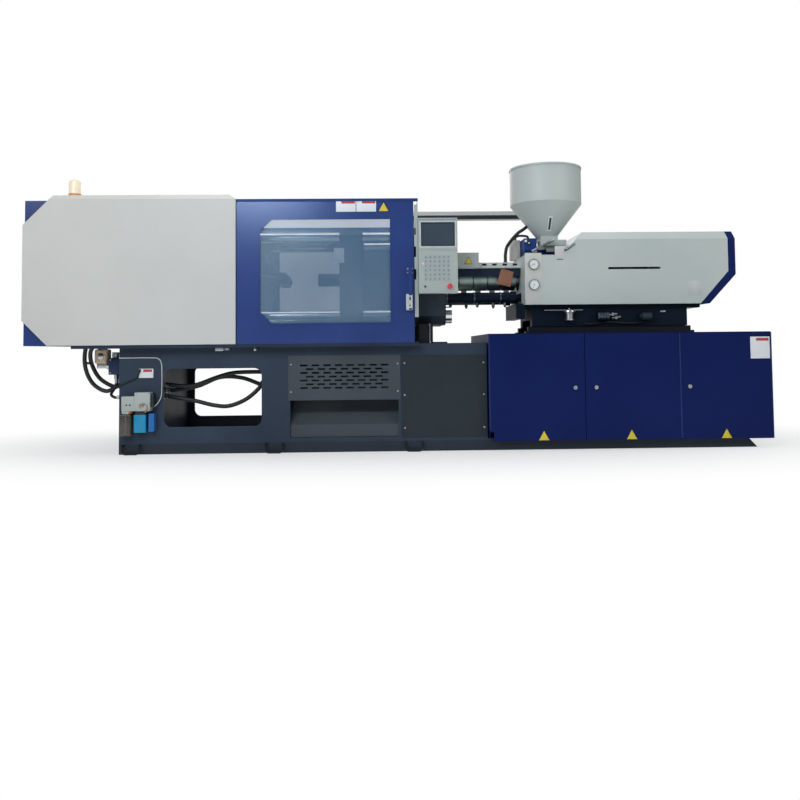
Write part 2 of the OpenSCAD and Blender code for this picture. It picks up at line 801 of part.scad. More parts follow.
module moving_platen() {
  x_back = x_moving - moving_t;
  color("#34424d")
  difference() {
    union() {
      platen_plate(x_back, x_moving);
      for (z = [z_axis - toggle_h, z_axis + toggle_h]) {
        both_sides() lug(x_moving_pin, x_back + sink, z, rear_y0, rear_y0 + link_t);
        rod_y(x_moving_pin, -front_y0 - link_t, front_y0 + link_t, z, toggle_pin_r);
      }
      rod_x(x_back - ejector_l, x_back + sink, 0, z_axis, 50);
    }
    bores(x_back - 1, x_moving + 1, tie_d / 2 + run_c);
    rod_x(x_back - ejector_l + 12, x_moving + 1, 0, z_axis, ejector_r + run_c);
    bolt_holes(x_moving - 60, x_moving + 1);
  }
}
module platen_shoes() {
  color("#34424d") shoes(x_moving - moving_t - 40, x_moving, z_axis - platen_o);
}
module ejector_rod() {
  color("#c8ccd0")
  rod_x(x_moving - moving_t - ejector_l + 20, x_moving - 6, 0, z_axis, ejector_r);
}
module crosshead() {
  color("#55626c")
  difference() {
    union() {
      slab(x_cross + arm_0, x_cross + arm_1, -rod_y - 30, rod_y + 30, z_axis - 42, z_axis + 42);
      slab(x_cross, x_cross + arm_0 + sink, -cross_y0 + 2, cross_y0 - 2, z_axis - 60, z_axis + 60);
      slab(x_cross - cross_bar, x_cross + cross_bar, -cross_y0 + 2, cross_y0 - 2,
           z_axis - cross_pin_h - aux_r, z_axis + cross_pin_h + aux_r);
      for (z = [z_axis - cross_pin_h, z_axis + cross_pin_h])
        rod_y(x_cross, -cross_y0 - 30, cross_y0 + 30, z, aux_pin_r);
      rod_x(x_tail_end - 154, x_cross - cross_bar + sink, 0, z_axis, clamp_rod_r);
    }
    both_sides() rod_x(x_cross + arm_0 - 1, x_cross + arm_1 + 1, rod_y, z_axis, guide_rod_r + run_c);
  }
}

// Toggle links, drawn for the upper half; up is 1 for the upper set and -1 for the lower
module rear_link(up) {
  both_sides()
    wall(rear_y0, rear_y0 + link_t)
      difference() {
        union() {
          for (x = [x_tail_pin, x_knee]) translate([x, z_axis + up * toggle_h]) circle(r = eye_r);
          translate([x_tail_pin, z_axis + up * toggle_h - eye_r + 6]) square([rear_link_l, 2 * eye_r - 12]);
          translate([x_tail_pin + aux_in, z_axis + up * (toggle_h - aux_drop)]) circle(r = aux_r);
          polygon([[x_tail_pin + aux_in - aux_r, z_axis + up * (toggle_h - aux_drop)],
                   [x_tail_pin + aux_in + aux_r, z_axis + up * (toggle_h - aux_drop)],
                   [x_tail_pin + aux_in + aux_r + 20, z_axis + up * (toggle_h - 20)],
                   [x_tail_pin + aux_in - aux_r - 20, z_axis + up * (toggle_h - 20)]]);
        }
        translate([x_tail_pin, z_axis + up * toggle_h]) circle(r = toggle_pin_r + run_c);
      }
}
module upper_rear_link() {
  color("#4d5a64") rear_link(1);
}
module lower_rear_link() {
  color("#4d5a64") rear_link(-1);
}
module front_link(up) {
  half = 33;
  both_sides() {
    wall(front_y0, front_y0 + link_t)
      difference() {
        union() {
          for (x = [x_knee, x_moving_pin]) translate([x, z_axis + up * toggle_h]) circle(r = eye_r);
          translate([x_knee, z_axis + up * toggle_h - half]) square([front_link_l, 2 * half]);
        }
        translate([x_moving_pin, z_axis + up * toggle_h]) circle(r = toggle_pin_r + run_c);
      }
    rod_y(x_knee, front_y0 + link_t - sink, front_y0 + link_t + 12, z_axis + up * toggle_h, toggle_pin_r);
  }
}
module upper_front_link() {
  color("#5b6973") front_link(1);
}
module lower_front_link() {
  color("#5b6973") front_link(-1);
}
module cross_link(up) {
  z_pin = z_axis + up * cross_pin_h;
  tilt = atan2(up * cross_rise, -cross_run);
  both_sides()
    wall(cross_y0, cross_y0 + 30)
      difference() {
        translate([x_cross, z_pin]) rotate(tilt) {
          circle(r = aux_r);
          translate([cross_link_l, 0]) circle(r = aux_r);
          translate([0, -aux_r + 5]) square([cross_link_l, 2 * aux_r - 10]);
        }
        translate([x_cross, z_pin]) circle(r = aux_pin_r + run_c);
      }
}
module upper_cross_link() {
  color("#66747e") cross_link(1);
}
module lower_cross_link() {
  color("#66747e") cross_link(-1);
}

// Control panel on its arm
x_panel = x_door_end + 32;
z_panel = z_axis - 149;
module control_panel() {
  y0 = y_front;
  y1 = y0 + panel_d;
  x0 = x_panel;
  x1 = x0 + panel_w;
  z1 = z_panel + panel_h;
  color("#a9b2ab") {
    difference() {
      slab(x0, x1, y0, y1, z_panel, z1);
      slab(x0 + 20, x1 - 19, y0 - 1, y0 + 6, z1 - 201, z1 - 32);
      rod_y(x1 - 59, y0 - 1, y0 + 30, z_panel + 49, stop_r - 8 + slide_c);
    }
    slab(x0, x1, y0 - 8, y0 + sink, z_panel, z_panel + 8);
    for (row = [0 : 5], k = [0 : 5])
      slab(x0 + 42 + k * 32, x0 + 62 + k * 32, y0 - 1.5, y0 + 1, z_panel + 92 + row * 31, z_panel + 112 + row * 31);
    slab(x0 + 50, x0 + 110, y1 - sink, -platen_o, z_panel + 180, z_panel + 300);
  }
}
module display() {
  x1 = x_panel + panel_w;
  z1 = z_panel + panel_h;
  color("#2e3a48")
  slab(x_panel + 20 + seat_c, x1 - 19 - seat_c, y_front + 2, y_front + 6, z1 - 201 + seat_c, z1 - 32 - seat_c);
}
module stop_button() {
  x = x_panel + panel_w - 59;
  z = z_panel + 49;
  color("#d04a55") {
    rod_y(x, y_front - 24, y_front - 10, z, stop_r);
    rod_y(x, y_front - 10.5, y_front + 12, z, stop_r - 8);
  }
}

// Cable duct behind the barrel, on a bracket from the fixed platen
module cable_duct() {
  y0 = 400;
  z1 = z_axis + 600;
  x0 = x_fixed - 5;
  color("#b9beb8") {
    difference() {
      slab(x0, x_inj + 106, y0, y0 + 80, z1 - 66, z1);
      slab(x0 + 3, x_inj + 103, y0 + 3, y0 + 77, z1 - 63, z1 + 1);
    }
    slab(x_fixed + 30, x_fixed + 90, platen_o - 120, y0 + 60, z_axis + platen_o, z_axis + platen_o + 6);
    slab(x_fixed + 30, x_fixed + 90, y0 + 54, y0 + 60, z_axis + platen_o + 1, z1 - 65);
  }
}

// Carriage cylinders below the barrel, and the guard over the nozzle
seat_z = z_axis - 155;
seat_y = 135;
seat_l = barrel_reach - 40;
seat_rod_r = 18;
module seat_cylinders() {
  color("#1d2a36")
  both_sides()
    difference() {
      union() {
        rod_x(x_fixed_end, x_fixed_end + seat_l, seat_y, seat_z, 40);
        rod_x(x_fixed_end + seat_l - 40, x_fixed_end + seat_l, seat_y, seat_z, 48);
      }
      rod_x(x_fixed_end + 20, x_fixed_end + seat_l + 1, seat_y, seat_z, seat_rod_r + run_c);
    }
}
guard_y = -260;
guard_z = z_axis + 178;
guard_l = 159;
guard_back = 150;
guard_pin_y = guard_back + 8;
guard_pin_z = guard_z - 8;
hinge_r = 7;
module purge_guard() {
  x0 = x_fixed_end + 100;
  x1 = x0 + guard_l;
  color("#b4bab4") {
    slab(x0, x1, guard_y, guard_back, guard_z - sheet_t, guard_z);
    slab(x0, x1, guard_y, guard_y + sheet_t, guard_z - 116, guard_z - sheet_t);
    for (x = [x0 + 10, x1 - 50])
      difference() {
        union() {
          rod_x(x, x + 40, guard_pin_y, guard_pin_z, hinge_r + 5);
          slab(x, x + 40, guard_back - 5, guard_pin_y, guard_z - sheet_t, guard_z);
        }
        rod_x(x - 1, x + 41, guard_pin_y, guard_pin_z, hinge_r + run_c);
      }
  }
}

// Lubrication pump, its reservoir, cartridges and line on the bed's front
y_lube = y_bed - 80;
module lube_pump() {
  x0 = x_bed + 39;
  r = 5;
  color("#a7aaa4") {
    slab(x0, x0 + 197, y_lube, y_bed, 309, 440);
    slab(x0, x0 + 50, y_lube, y_bed, 291, 309 + sink);
    tube([[x0 + 190, y_bed - 30, 330], [x0 + 225, y_bed - 26, 345], [x0 + 258, y_bed - 14, 400],
          [x0 + 262, y_bed - 8, 470], [x0 + 262, y_bed - 6, 560], [x0 + 258, y_bed - 6, 640],
          [x0 + 235, y_bed - 6, 674], [x0 + 180, y_bed - 6, 680], [x0 + 60, y_bed - 6, 680],
          [x0 - 40, y_bed - 6, 680]], r);
  }
}
module lube_tank() {
  x0 = x_bed + 20;
  color("#6e6355") {
    slab(x0, x0 + 83, y_lube + 5, y_bed - 5, 133, 291);
    slab(x0 + 104, x0 + 186, y_lube + 8, y_bed - 12, 159, 309);
    slab(x0 + 204, x0 + 242, y_lube + 15, y_bed, 165, 290);
  }
}

// Hoses through the bed and round its clamp end
module hydraulic_hoses() {
  x0 = x_opening - 60 + plate_t + seat_c;
  x1 = x_opening + opening_l + 40 - seat_c;
  h = 15;
  color("#15181a") {
    tube([[x0, -300, 482], [x0 + 30, -300, 482], [x0 + 130, -302, 470], [x0 + 240, -306, 480],
          [x0 + 380, -300, 530], [x0 + 500, -295, 562], [x0 + 640, -290, 568], [x1 - 30, -285, 566],
          [x1, -285, 566]], h);
    tube([[x0, -330, 400], [x0 + 30, -330, 400], [x0 + 130, -332, 382], [x0 + 240, -336, 362],
          [x0 + 370, -338, 330], [x0 + 480, -338, 324], [x0 + 600, -330, 370], [x0 + 690, -322, 445],
          [x1 - 60, -316, 492], [x1 - 30, -316, 492], [x1, -316, 492]], h);
    tube([[x0, -262, 440], [x0 + 30, -262, 440], [x0 + 80, -262, 440], [x0 + 240, -262, 468], [x0 + 400, -258, 530],
          [x0 + 560, -256, 524], [x1 - 80, -252, 474], [x1 - 30, -252, 470], [x1, -252, 470]], h);
    tube([[x_bed - 60, -300, 532 - seat_c], [x_bed - 60, -300, 500], [x_bed - 90, -304, 465],
          [x_bed - 160, -310, 440], [x_bed - 250, -320, 500], [x_bed - 294, -345, 620],
          [x_bed - 280, -370, 760], [x_bed - 200, -412, 840], [x_bed - 100, -430, 860],
          [x_bed - 30, -430, 860], [x_bed + 2 - seat_c, -430, 860]], h);
    tube([[x_bed - 60, -230, 532 - seat_c], [x_bed - 60, -230, 500], [x_bed - 84, -236, 470],
          [x_bed - 140, -250, 478], [x_bed - 220, -272, 540], [x_bed - 256, -330, 650],
          [x_bed - 236, -385, 745], [x_bed - 150, -420, 795], [x_bed - 80, -430, 805],
          [x_bed - 30, -430, 805], [x_bed + 2 - seat_c, -430, 805]], h);
    tube([[x_bed - 60, -370, 532 - seat_c], [x_bed - 60, -370, 505], [x_bed - 72, -380, 460],
          [x_bed - 84, -412, 420], [x_bed - 50, -440, 400], [x_bed - 20, -440, 400],
          [x_bed - seat_c, -440, 400]], 10);
  }
}
module clamp_manifold() {
  x1 = x_bed;
  color("#2a3b6b") {
    slab(x1 - 110, x1, -400, -180, 560, 680);
    slab(x1 + 2, x1 + 90, -470, -390, bed_h, bed_h + 140);
    for (y = [-370, -300, -230]) {
      rod_x(x1 - 130, x1 - 110 + sink, y, 620, 24);
      rod_z(x1 - 60, y, 532, 560 + sink, 20);
    }
    slab(x1 - 226, x1 - 110 + sink, -300, -290, 604, 640);
    slab(x1 - 232, x1 - 138, -340, -240, 640 - sink, 743);
  }
}

// Injection carriage: the sliding frame with its uprights, feed block and cylinders
z_carriage = cabinet_h + rail_h + 35 + slide_c;
ram_x = x_inj + 0.468 * inj_l;
inj_cyl_y = 175;
module carriage_frame() {
  x0 = x_inj - 57;
  x1 = x_inj_end - 246;
  x_up = x_inj + 20;
  z_beam = z_axis - 246;
  z_top = z_beam + 38;
  w = frame_w / 2;
  color("#17222b")
  difference() {
    union() {
      slab(x0, x1, -w, w, z_beam, z_top);
      slab(x0, x0 + 67, -w, w, z_beam - 74, z_beam + sink);
      both_sides() slab(x_inj + 62, x1 - 102, -rail_y - 40, -rail_y + 40, z_carriage, z_beam + sink);
      for (x = [x_inj + 62, x_inj + 0.39 * inj_l, x1 - 142])
        slab(x, x + 40, -rail_y + 38, rail_y - 38, z_carriage + 50, z_beam + sink);
      slab(x_up, x_up + 40, -w + 10, w - 10, z_top - sink, z_axis + 110);
      slab(x_hopper - 90, x_hopper + 90, -100, 100, z_axis - 95, gate_z);
      slab(x_hopper - 189, x_hopper + 85, -100, 100, gate_z - 49, gate_z);
      slab(x_hopper - 189, x_hopper - 94, -100, 100, gate_z - sink, z_hopper);
      slab(x_hopper - 60, x_hopper + 60, -60, 60, z_top - sink, z_axis - 90);
      both_sides() rod_x(x_up + 40 - sink, x_up + 560, inj_cyl_y, z_axis, 60);
      both_sides() slab(x_hopper - 40, x_hopper + 60, inj_cyl_y - 40, inj_cyl_y + 40, z_top - sink, z_axis - 50);
      both_sides() rod_x(x_fixed_end + 30, x_up + sink, seat_y, seat_z, seat_rod_r);
    }
    rod_x(x_up - 1, x_up + 41, 0, z_axis, barrel_r + run_c);
    rod_x(x_hopper - 91, x_hopper + 91, 0, z_axis, barrel_r + run_c);
    rod_z(x_hopper, 0, z_axis, gate_z + 1, 42);
    both_sides() rod_x(x_up + 80, x_up + 561, inj_cyl_y, z_axis, 25 + run_c);
  }
}

// Outline of the injection cover in X and Z; d is how far the outline is drawn in
module inj_outline(d) {
  polygon([[x_inj + d, z_inj], [x_inj + d, z_inj_top - inj_step - d], [x_inj + inj_low_l, z_inj_top - inj_step - d],
           [x_inj + inj_low_l + 168, z_inj_top + inj_bevel - d], [x_inj_end - d, z_inj_top + inj_bevel - d],
           [x_inj_end - d, z_inj + cap_cut_h + 0.4 * d], [x_inj_end - cap_cut_l - 0.4 * d, z_inj]]);
}
module inj_body(d) {
  h = inj_w / 2 - d;
  intersection() {
    wall(-h, h) inj_outline(d);
    translate([x_inj, 0, 0]) rotate([90, 0, 90]) linear_extrude(height = inj_l)
      polygon([[-h, z_inj], [h, z_inj], [h, z_inj_top], [h - inj_bevel, z_inj_top + inj_bevel - d],
               [-h + inj_bevel, z_inj_top + inj_bevel - d], [-h, z_inj_top]]);
  }
}
module cap_zone() {
  w = cap_w;
  wall(-inj_w, inj_w)
    polygon([[x_inj_end - w, z_inj_top + 200], [x_inj_end - w, z_inj + cap_cut_h + 0.45 * w],
             [x_inj_end - cap_cut_l - 1.35 * w + 5, z_inj - 1], [x_inj_end + 10, z_inj - 1],
             [x_inj_end + 10, z_inj_top + 200]]);
}
cover_t = 4;
guard_rise = 112;
module injection_cover() {
  color("#adb6b0")
  difference() {
    inj_body(0);
    translate([0, 0, -0.01]) inj_body(cover_t);
    cap_zone();
    slab(x_inj + cover_slot_in, x_inj + cover_slot_in + cover_slot_l, -inj_w, inj_w, z_axis + 39, z_axis + 55);
    rod_x(x_inj - 1, x_inj + cover_t + 1, 0, z_axis, barrel_r + 30);
    slab(x_inj - 1, x_inj + cover_t + 1, -seat_y - 30, seat_y + 30, z_inj - 1, z_axis - 120);
    slab(x_inj - 1, x_inj + cover_t + 1, -frame_w / 2 - 2, frame_w / 2 + 2, z_inj - 1, z_axis - 206);
    slab(x_hopper - 110, x_hopper + 110, -120, 120, z_inj_top - inj_step - 30, z_inj_top + 200);
  }
}
module cover_end_cap() {
  color("#23357c")
  intersection() {
    difference() {
      inj_body(0);
      translate([0, 0, -0.01]) inj_body(cover_t);
    }
    translate([seat_c, 0, 0]) cap_zone();
  }
}
module pressure_dials() {
  color("#d9dcda")
  for (z = [z_axis + 78, z_axis - 73]) {
    rod_y(x_inj + 66, -inj_w / 2 - 22, -inj_w / 2, z, 40);
  }
}

// Barrel with its nozzle, the heater bands round it and the guard over it
module barrel() {
  x0 = x_fixed_end + 110;
  color("#8c9399")
  difference() {
    union() {
      rod_x(x0, x_hopper + 90, 0, z_axis, barrel_r);
      rod_x(x0 - 60, x0 + sink, 0, z_axis, 48);
      rod_x(x0 - 240, x0 - 60 + sink, 0, z_axis, 34);
      translate([x0 - 300, 0, z_axis]) rotate([0, 90, 0]) cylinder(h = 60, r1 = 12, r2 = 34);
    }
    rod_x(x0 + 20, x_hopper + 91, 0, z_axis, screw_shaft_r + run_c);
    rod_x(x0 - 301, x0 + 21, 0, z_axis, 4);
    rod_z(x_hopper, 0, z_axis, z_axis + barrel_r + 1, 38);
  }
}
module heater_bands() {
  x0 = x_fixed_end + 130;
  pitch = (x_inj - 20 - x0) / band_count;
  color("#8fa39c")
  for (k = [0 : band_count - 1])
    difference() {
      union() {
        rod_x(x0 + k * pitch, x0 + (k + 1) * pitch - 8, 0, z_axis, band_r);
        slab(x0 + k * pitch + 20, x0 + k * pitch + 60, -14, 14, z_axis - band_r - 18, z_axis - band_r + 6);
      }
      rod_x(x0 + k * pitch - 1, x0 + (k + 1) * pitch, 0, z_axis, barrel_r + run_c);
    }
}
module barrel_guard() {
  x0 = x_fixed_end + 270;
  x1 = x_inj;
  y0 = -165;
  z1 = z_axis + guard_rise;
  color("#b3bab4") {
    difference() {
      slab(x0, x1, y0, -y0, z1 - 41, z1);
      slab(x0 - 1, x1 + 1, y0 + sheet_t, -y0 - sheet_t, z1 - 42, z1 - sheet_t);
      for (k = [0 : 3]) slab(x0 + 26 + k * 78, x0 + 60 + k * 78, y0 - 1, -y0 + 1, z1 - 24, z1 - 8);
    }
    both_sides() slab(x0 - 160, x1, y0 + 22, y0 + 28, z1 - 104, z1 - 38);
    both_sides() slab(x0, x1, y0 + 1, y0 + 28, z1 - 41, z1 - 38);
  }
}

// Ram plate with its rods and motor, and the screw that it turns
module ram_plate() {
  x0 = ram_x;
  x_up = x_inj + 20;
  color("#39454f")
  difference() {
    union() {
      slab(x0, x0 + 60, -250, 250, z_axis - 110, z_axis + 110);
      both_sides() rod_x(x_up + 110, x0 + sink, inj_cyl_y, z_axis, 25);
      rod_x(x0 + 60 - sink, x0 + 260, 0, z_axis, 100);
    }
    rod_x(x0 - 1, x0 + 120, 0, z_axis, screw_shaft_r + run_c);
  }
}
module screw() {
  x0 = x_fixed_end + 140;
  flight = 8;
  color("#c4c8cb") {
    rod_x(x0 + 40, ram_x + 110, 0, z_axis, screw_shaft_r - 6);
    translate([x0, 0, z_axis]) rotate([0, 90, 0]) cylinder(h = 40, r1 = 3, r2 = screw_shaft_r - 6);
    for (x = [x0 + 60 : 60 : x_hopper + 60]) rod_x(x, x + flight, 0, z_axis, screw_shaft_r);
    rod_x(x_hopper + 68, ram_x + 110, 0, z_axis, screw_shaft_r);
  }
}

// Hopper with its lid, and the shut-off gate under it
gate_z = z_axis + 215;
gate_t = 8;
module hopper() {
  r = hopper_r;
  t = hopper_t;
  z_slot = z_hopper + 63;
  base = gate_z + gate_t + 1;
  color("#b6bdb6")
  difference() {
    union() {
      translate([x_hopper, 0, 0]) rotate_extrude()
        polygon([[0, base + 10], [neck_r, base + 10], [neck_r, z_hopper], [r, z_cone], [r, z_rim - 8],
                 [r + 5, z_rim - 8], [r + 5, z_rim], [0, z_rim]]);
      slab(x_hopper - 90, x_hopper + 90, -90, 90, base, base + 18);
      slab(x_hopper - 61, x_hopper + 72, -100, 70, z_hopper - 19, z_hopper + 18);
      slab(x_hopper - 67, x_hopper + 130, -130, -88, z_hopper - 61, z_hopper - 16);
      for (s = [-90, 62]) slab(x_hopper + s, x_hopper + s + 28, -90, 90, gate_z, base + sink);
    }
    translate([x_hopper, 0, 0]) rotate_extrude()
      polygon([[0, base + 18], [neck_r - t, base + 18], [neck_r - t, z_hopper + 2], [r - t, z_cone + 2],
               [r - t, z_rim + 1], [0, z_rim + 1]]);
    rod_z(x_hopper, 0, base - 1, base + 19, neck_r - t - 10);
    slab(x_hopper - 8, x_hopper + 8, -r, 0, z_slot, z_slot + 83);
  }
}
module hopper_lid() {
  r = hopper_r;
  color("#a9b0aa")
  translate([x_hopper, 0, z_rim + seat_c])
    rotate_extrude() polygon([[0, 3], [0, 6], [r + 3, 6], [r + 3, 0], [r - 3, 0], [r - 3, 3]]);
}
module hopper_gate() {
  color("#c6cac9") {
    difference() {
      slab(x_hopper - 61, x_hopper + 61, -86, 134, gate_z + seat_c, gate_z + gate_t);
      rod_z(x_hopper, 0, gate_z - 1, gate_z + gate_t + 1, 40);
    }
    slab(x_hopper - 30, x_hopper + 30, -150, -86 + sink, gate_z + seat_c, gate_z + gate_t);
    slab(x_hopper - 30, x_hopper + 30, -150, -142, gate_z - 22, gate_z + sink);
  }
}

// Junction box and conduits at the hopper
module conduits() {
  z0 = z_axis + guard_rise;
  z_box = z_inj_top + 47;
  x_end = x_hopper - 149.5;
  z_end = z_hopper + 105;
  color("#22272a") {
    slab(x_inj - 40, x_inj + 38, 60, 130, z_inj_top - inj_step, z_box);
    tube([[x_hopper - 323, 0, z0], [x_hopper - 323, 0, z0 + 30], [x_hopper - 320, 0, z0 + 95],
          [x_hopper - 301, 0, z0 + 154], [x_hopper - 229, 0, z0 + 240], [x_end - 31.6, 0, z_end - 24.5],
          [x_end - 0.24, 0, z_end - 0.18]], 14);
    tube([[x_inj, 95, z_box], [x_inj, 95, z_box + 15], [x_inj + 22, 70, z_box + 34],
          [x_hopper - 141, 40, z_hopper + 32], [x_hopper - 141, 40, z_hopper + seat_c]], 10);
  }
}

bed_beams();
bed_side_plates();
bed_cross_plates();
grille_panel();
side_panel();
platen_shoes();
drop_chute();
cabinet_body();
oil_tank();
pump_motor();
electric_plate();
cabinet_door_1();
cabinet_door_2();
cabinet_door_3();
clamp_shell();
cover_panels();
roof_panel();
beacon();
door_guides();
front_door();
front_window();
rear_door();
rear_window();
fixed_guard();
fixed_platen();
tie_bars();
tail_platen();
clamp_cylinder();
moving_platen();
ejector_rod();
crosshead();
upper_rear_link();
lower_rear_link();
upper_front_link();
lower_front_link();
upper_cross_link();
lower_cross_link();
control_panel();
display();
stop_button();
cable_duct();
seat_cylinders();
purge_guard();
lube_pump();
lube_tank();
hydraulic_hoses();
clamp_manifold();
carriage_frame();
injection_cover();
cover_end_cap();
pressure_dials();
barrel();
heater_bands();
barrel_guard();
ram_plate();
screw();
hopper();
hopper_lid();
hopper_gate();
conduits();
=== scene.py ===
import bpy
import bmesh
import math
from mathutils import Vector, Matrix


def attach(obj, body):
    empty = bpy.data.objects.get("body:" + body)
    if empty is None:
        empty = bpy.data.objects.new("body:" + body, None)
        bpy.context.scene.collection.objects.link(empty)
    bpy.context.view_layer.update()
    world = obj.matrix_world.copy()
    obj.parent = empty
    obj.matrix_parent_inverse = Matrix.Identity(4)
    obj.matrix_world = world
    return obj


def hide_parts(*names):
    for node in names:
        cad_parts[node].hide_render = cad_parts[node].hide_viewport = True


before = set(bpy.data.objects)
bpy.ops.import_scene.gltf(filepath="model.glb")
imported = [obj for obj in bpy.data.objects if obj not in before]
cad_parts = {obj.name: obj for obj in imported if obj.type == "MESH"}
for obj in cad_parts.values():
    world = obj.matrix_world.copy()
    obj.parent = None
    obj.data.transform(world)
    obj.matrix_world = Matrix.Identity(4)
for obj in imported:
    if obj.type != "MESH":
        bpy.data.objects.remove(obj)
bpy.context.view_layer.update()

# The photographer stood back with a mild telephoto view, a little left of the middle
cameraSettings = {
    "place": (-0.164, -6.4, 0.72),   # metres
    "pitchUp": 2.9,                  # degrees
    "yawRight": 1.5,
    "roll": 0.55,
    "lens": 37.1,
    "shiftY": -0.115,
}


def makeCamera(s):
    data = bpy.data.cameras.new("machineCamera")
    data.lens = s["lens"]
    data.sensor_width = 36
    data.shift_y = s["shiftY"]
    data.clip_end = 60
    cam = bpy.data.objects.new("machineCamera", data)
    bpy.context.scene.collection.objects.link(cam)
    turn = (Matrix.Rotation(math.radians(-s["yawRight"]), 4, "Z")
            @ Matrix.Rotation(math.radians(90 + s["pitchUp"]), 4, "X")
            @ Matrix.Rotation(math.radians(-s["roll"]), 4, "Z"))
    cam.matrix_world = Matrix.Translation(Vector(s["place"])) @ turn
    bpy.context.scene.camera = cam


makeCamera(cameraSettings)
bpy.context.scene.view_settings.view_transform = "Standard"
print("camera set")


def hexColor(code):
    # sRGB hex to Blender's linear colour
    parts = [int(code[i:i + 2], 16) / 255 for i in (0, 2, 4)]
    linear = [c / 12.92 if c <= 0.04045 else ((c + 0.055) / 1.055) ** 2.4 for c in parts]
    return (*linear, 1.0)


def addNode(tree, kind, settings=None, links=None):
    # one node, its plain values and what feeds its inputs; a node stands for its first output
    node = tree.nodes.new(kind)
    for key, value in (settings or {}).items():
        if isinstance(key, int) or key in node.inputs:
            node.inputs[key].default_value = value
        else:
            setattr(node, key, value)
    for key, source in (links or {}).items():
        socket = source if isinstance(source, bpy.types.NodeSocket) else source.outputs[0]
        tree.links.new(socket, node.inputs[key])
    return node


def toned(tree, where, hexDark, hexLight, scale):
    # slow drift between two tones of one colour
    cloud = addNode(tree, "ShaderNodeTexNoise", {"Scale": scale, "Detail": 4.0, "Roughness": 0.55},
                    {"Vector": where})
    ramp = addNode(tree, "ShaderNodeValToRGB", links={"Fac": cloud.outputs["Fac"]})
    for element, position, code in zip(ramp.color_ramp.elements, (0.3, 0.7), (hexDark, hexLight)):
        element.position = position
        element.color = hexColor(code)
    return ramp.outputs["Color"]


def newMaterial(name, hexDark, hexLight, drift, settings, zones=()):
    # a Principled material in two tones; settings are the shader's own values, and zones holds
    # (side, level, dark, light) where another colour or a painted shade starts: above a height, or
    # inside or outside a distance from the machine's middle plane
    material = bpy.data.materials.new(name)
    material.use_nodes = True
    tree = material.node_tree
    tree.nodes.clear()
    out = addNode(tree, "ShaderNodeOutputMaterial")
    shader = addNode(tree, "ShaderNodeBsdfPrincipled", settings)
    tree.links.new(shader.outputs["BSDF"], out.inputs["Surface"])
    where = addNode(tree, "ShaderNodeTexCoord").outputs["Object"]
    tone = toned(tree, where, hexDark, hexLight, drift)
    for side, level, dark, light in zones:
        axes = addNode(tree, "ShaderNodeSeparateXYZ", links={"Vector": where})
        apart = addNode(tree, "ShaderNodeMath", {"operation": "ABSOLUTE"}, {0: axes.outputs["Y"]})
        measured = axes.outputs["Z"] if side == "above" else apart.outputs[0]
        beyond = addNode(tree, "ShaderNodeMath", {"operation": "LESS_THAN" if side == "inside"
                                                  else "GREATER_THAN", 1: level}, {0: measured})
        both = addNode(tree, "ShaderNodeMix", {"data_type": "RGBA"},
                       {0: beyond, 6: tone, 7: toned(tree, where, dark, light, drift)})
        tone = both.outputs[2]
    tree.links.new(tone, shader.inputs["Base Color"])
    return material, tree, shader, where


def sheen(tree, shader, pattern, low, high):
    # roughness that follows a pattern
    limits = addNode(tree, "ShaderNodeMapRange", {"To Min": low, "To Max": high}, {"Value": pattern})
    tree.links.new(limits.outputs["Result"], shader.inputs["Roughness"])


def relief(tree, shader, pattern, strength, depth=0.001, edge=0.0):
    # a pattern that stands out of the surface; edge is the radius that rounds its corners
    bump = addNode(tree, "ShaderNodeBump", {"Strength": strength, "Distance": depth},
                   {"Height": pattern})
    if edge:
        rounded = addNode(tree, "ShaderNodeBevel", {"samples": 4, "Radius": edge})
        tree.links.new(rounded.outputs["Normal"], bump.inputs["Normal"])
    tree.links.new(bump.outputs["Normal"], shader.inputs["Normal"])


driftScale = 1.4        # paint changes its tone about every 0.7 m
paintEdge = 0.002       # metres; radius that the paint film gives to sheet edges
castEdge = 0.004
coatRough = 0.2


def paint(name, hexDark, hexLight, rough=0.35, coat=0.0, peelMm=3.0, peel=0.04, zones=(), shine=0.25):
    # sprayed two-pack paint on sheet steel: even sheen, a fine orange-peel ripple and edges
    # rounded by the paint film
    material, tree, shader, where = newMaterial(
        name, hexDark, hexLight, driftScale,
        {"Specular IOR Level": shine, "Coat Weight": coat, "Coat Roughness": coatRough}, zones)
    smear = addNode(tree, "ShaderNodeTexNoise", {"Scale": 5.0, "Detail": 5.0}, {"Vector": where})
    sheen(tree, shader, smear.outputs["Fac"], rough - 0.05, rough + 0.08)
    ripple = addNode(tree, "ShaderNodeTexNoise", {"Scale": 1000.0 / peelMm / 2, "Detail": 2.0},
                     {"Vector": where})
    relief(tree, shader, ripple.outputs["Fac"], peel, edge=paintEdge)
    return material


def casting(name, hexDark, hexLight):
    # paint brushed over sand-cast iron: the sand's grain shows through, drawn at 4 mm
    material, tree, shader, where = newMaterial(name, hexDark, hexLight, 6.0,
                                                {"Specular IOR Level": 0.3, "Roughness": 0.5})
    grain = addNode(tree, "ShaderNodeTexNoise", {"Scale": 260.0, "Detail": 6.0}, {"Vector": where})
    relief(tree, shader, grain.outputs["Fac"], 0.25, edge=castEdge)
    return material


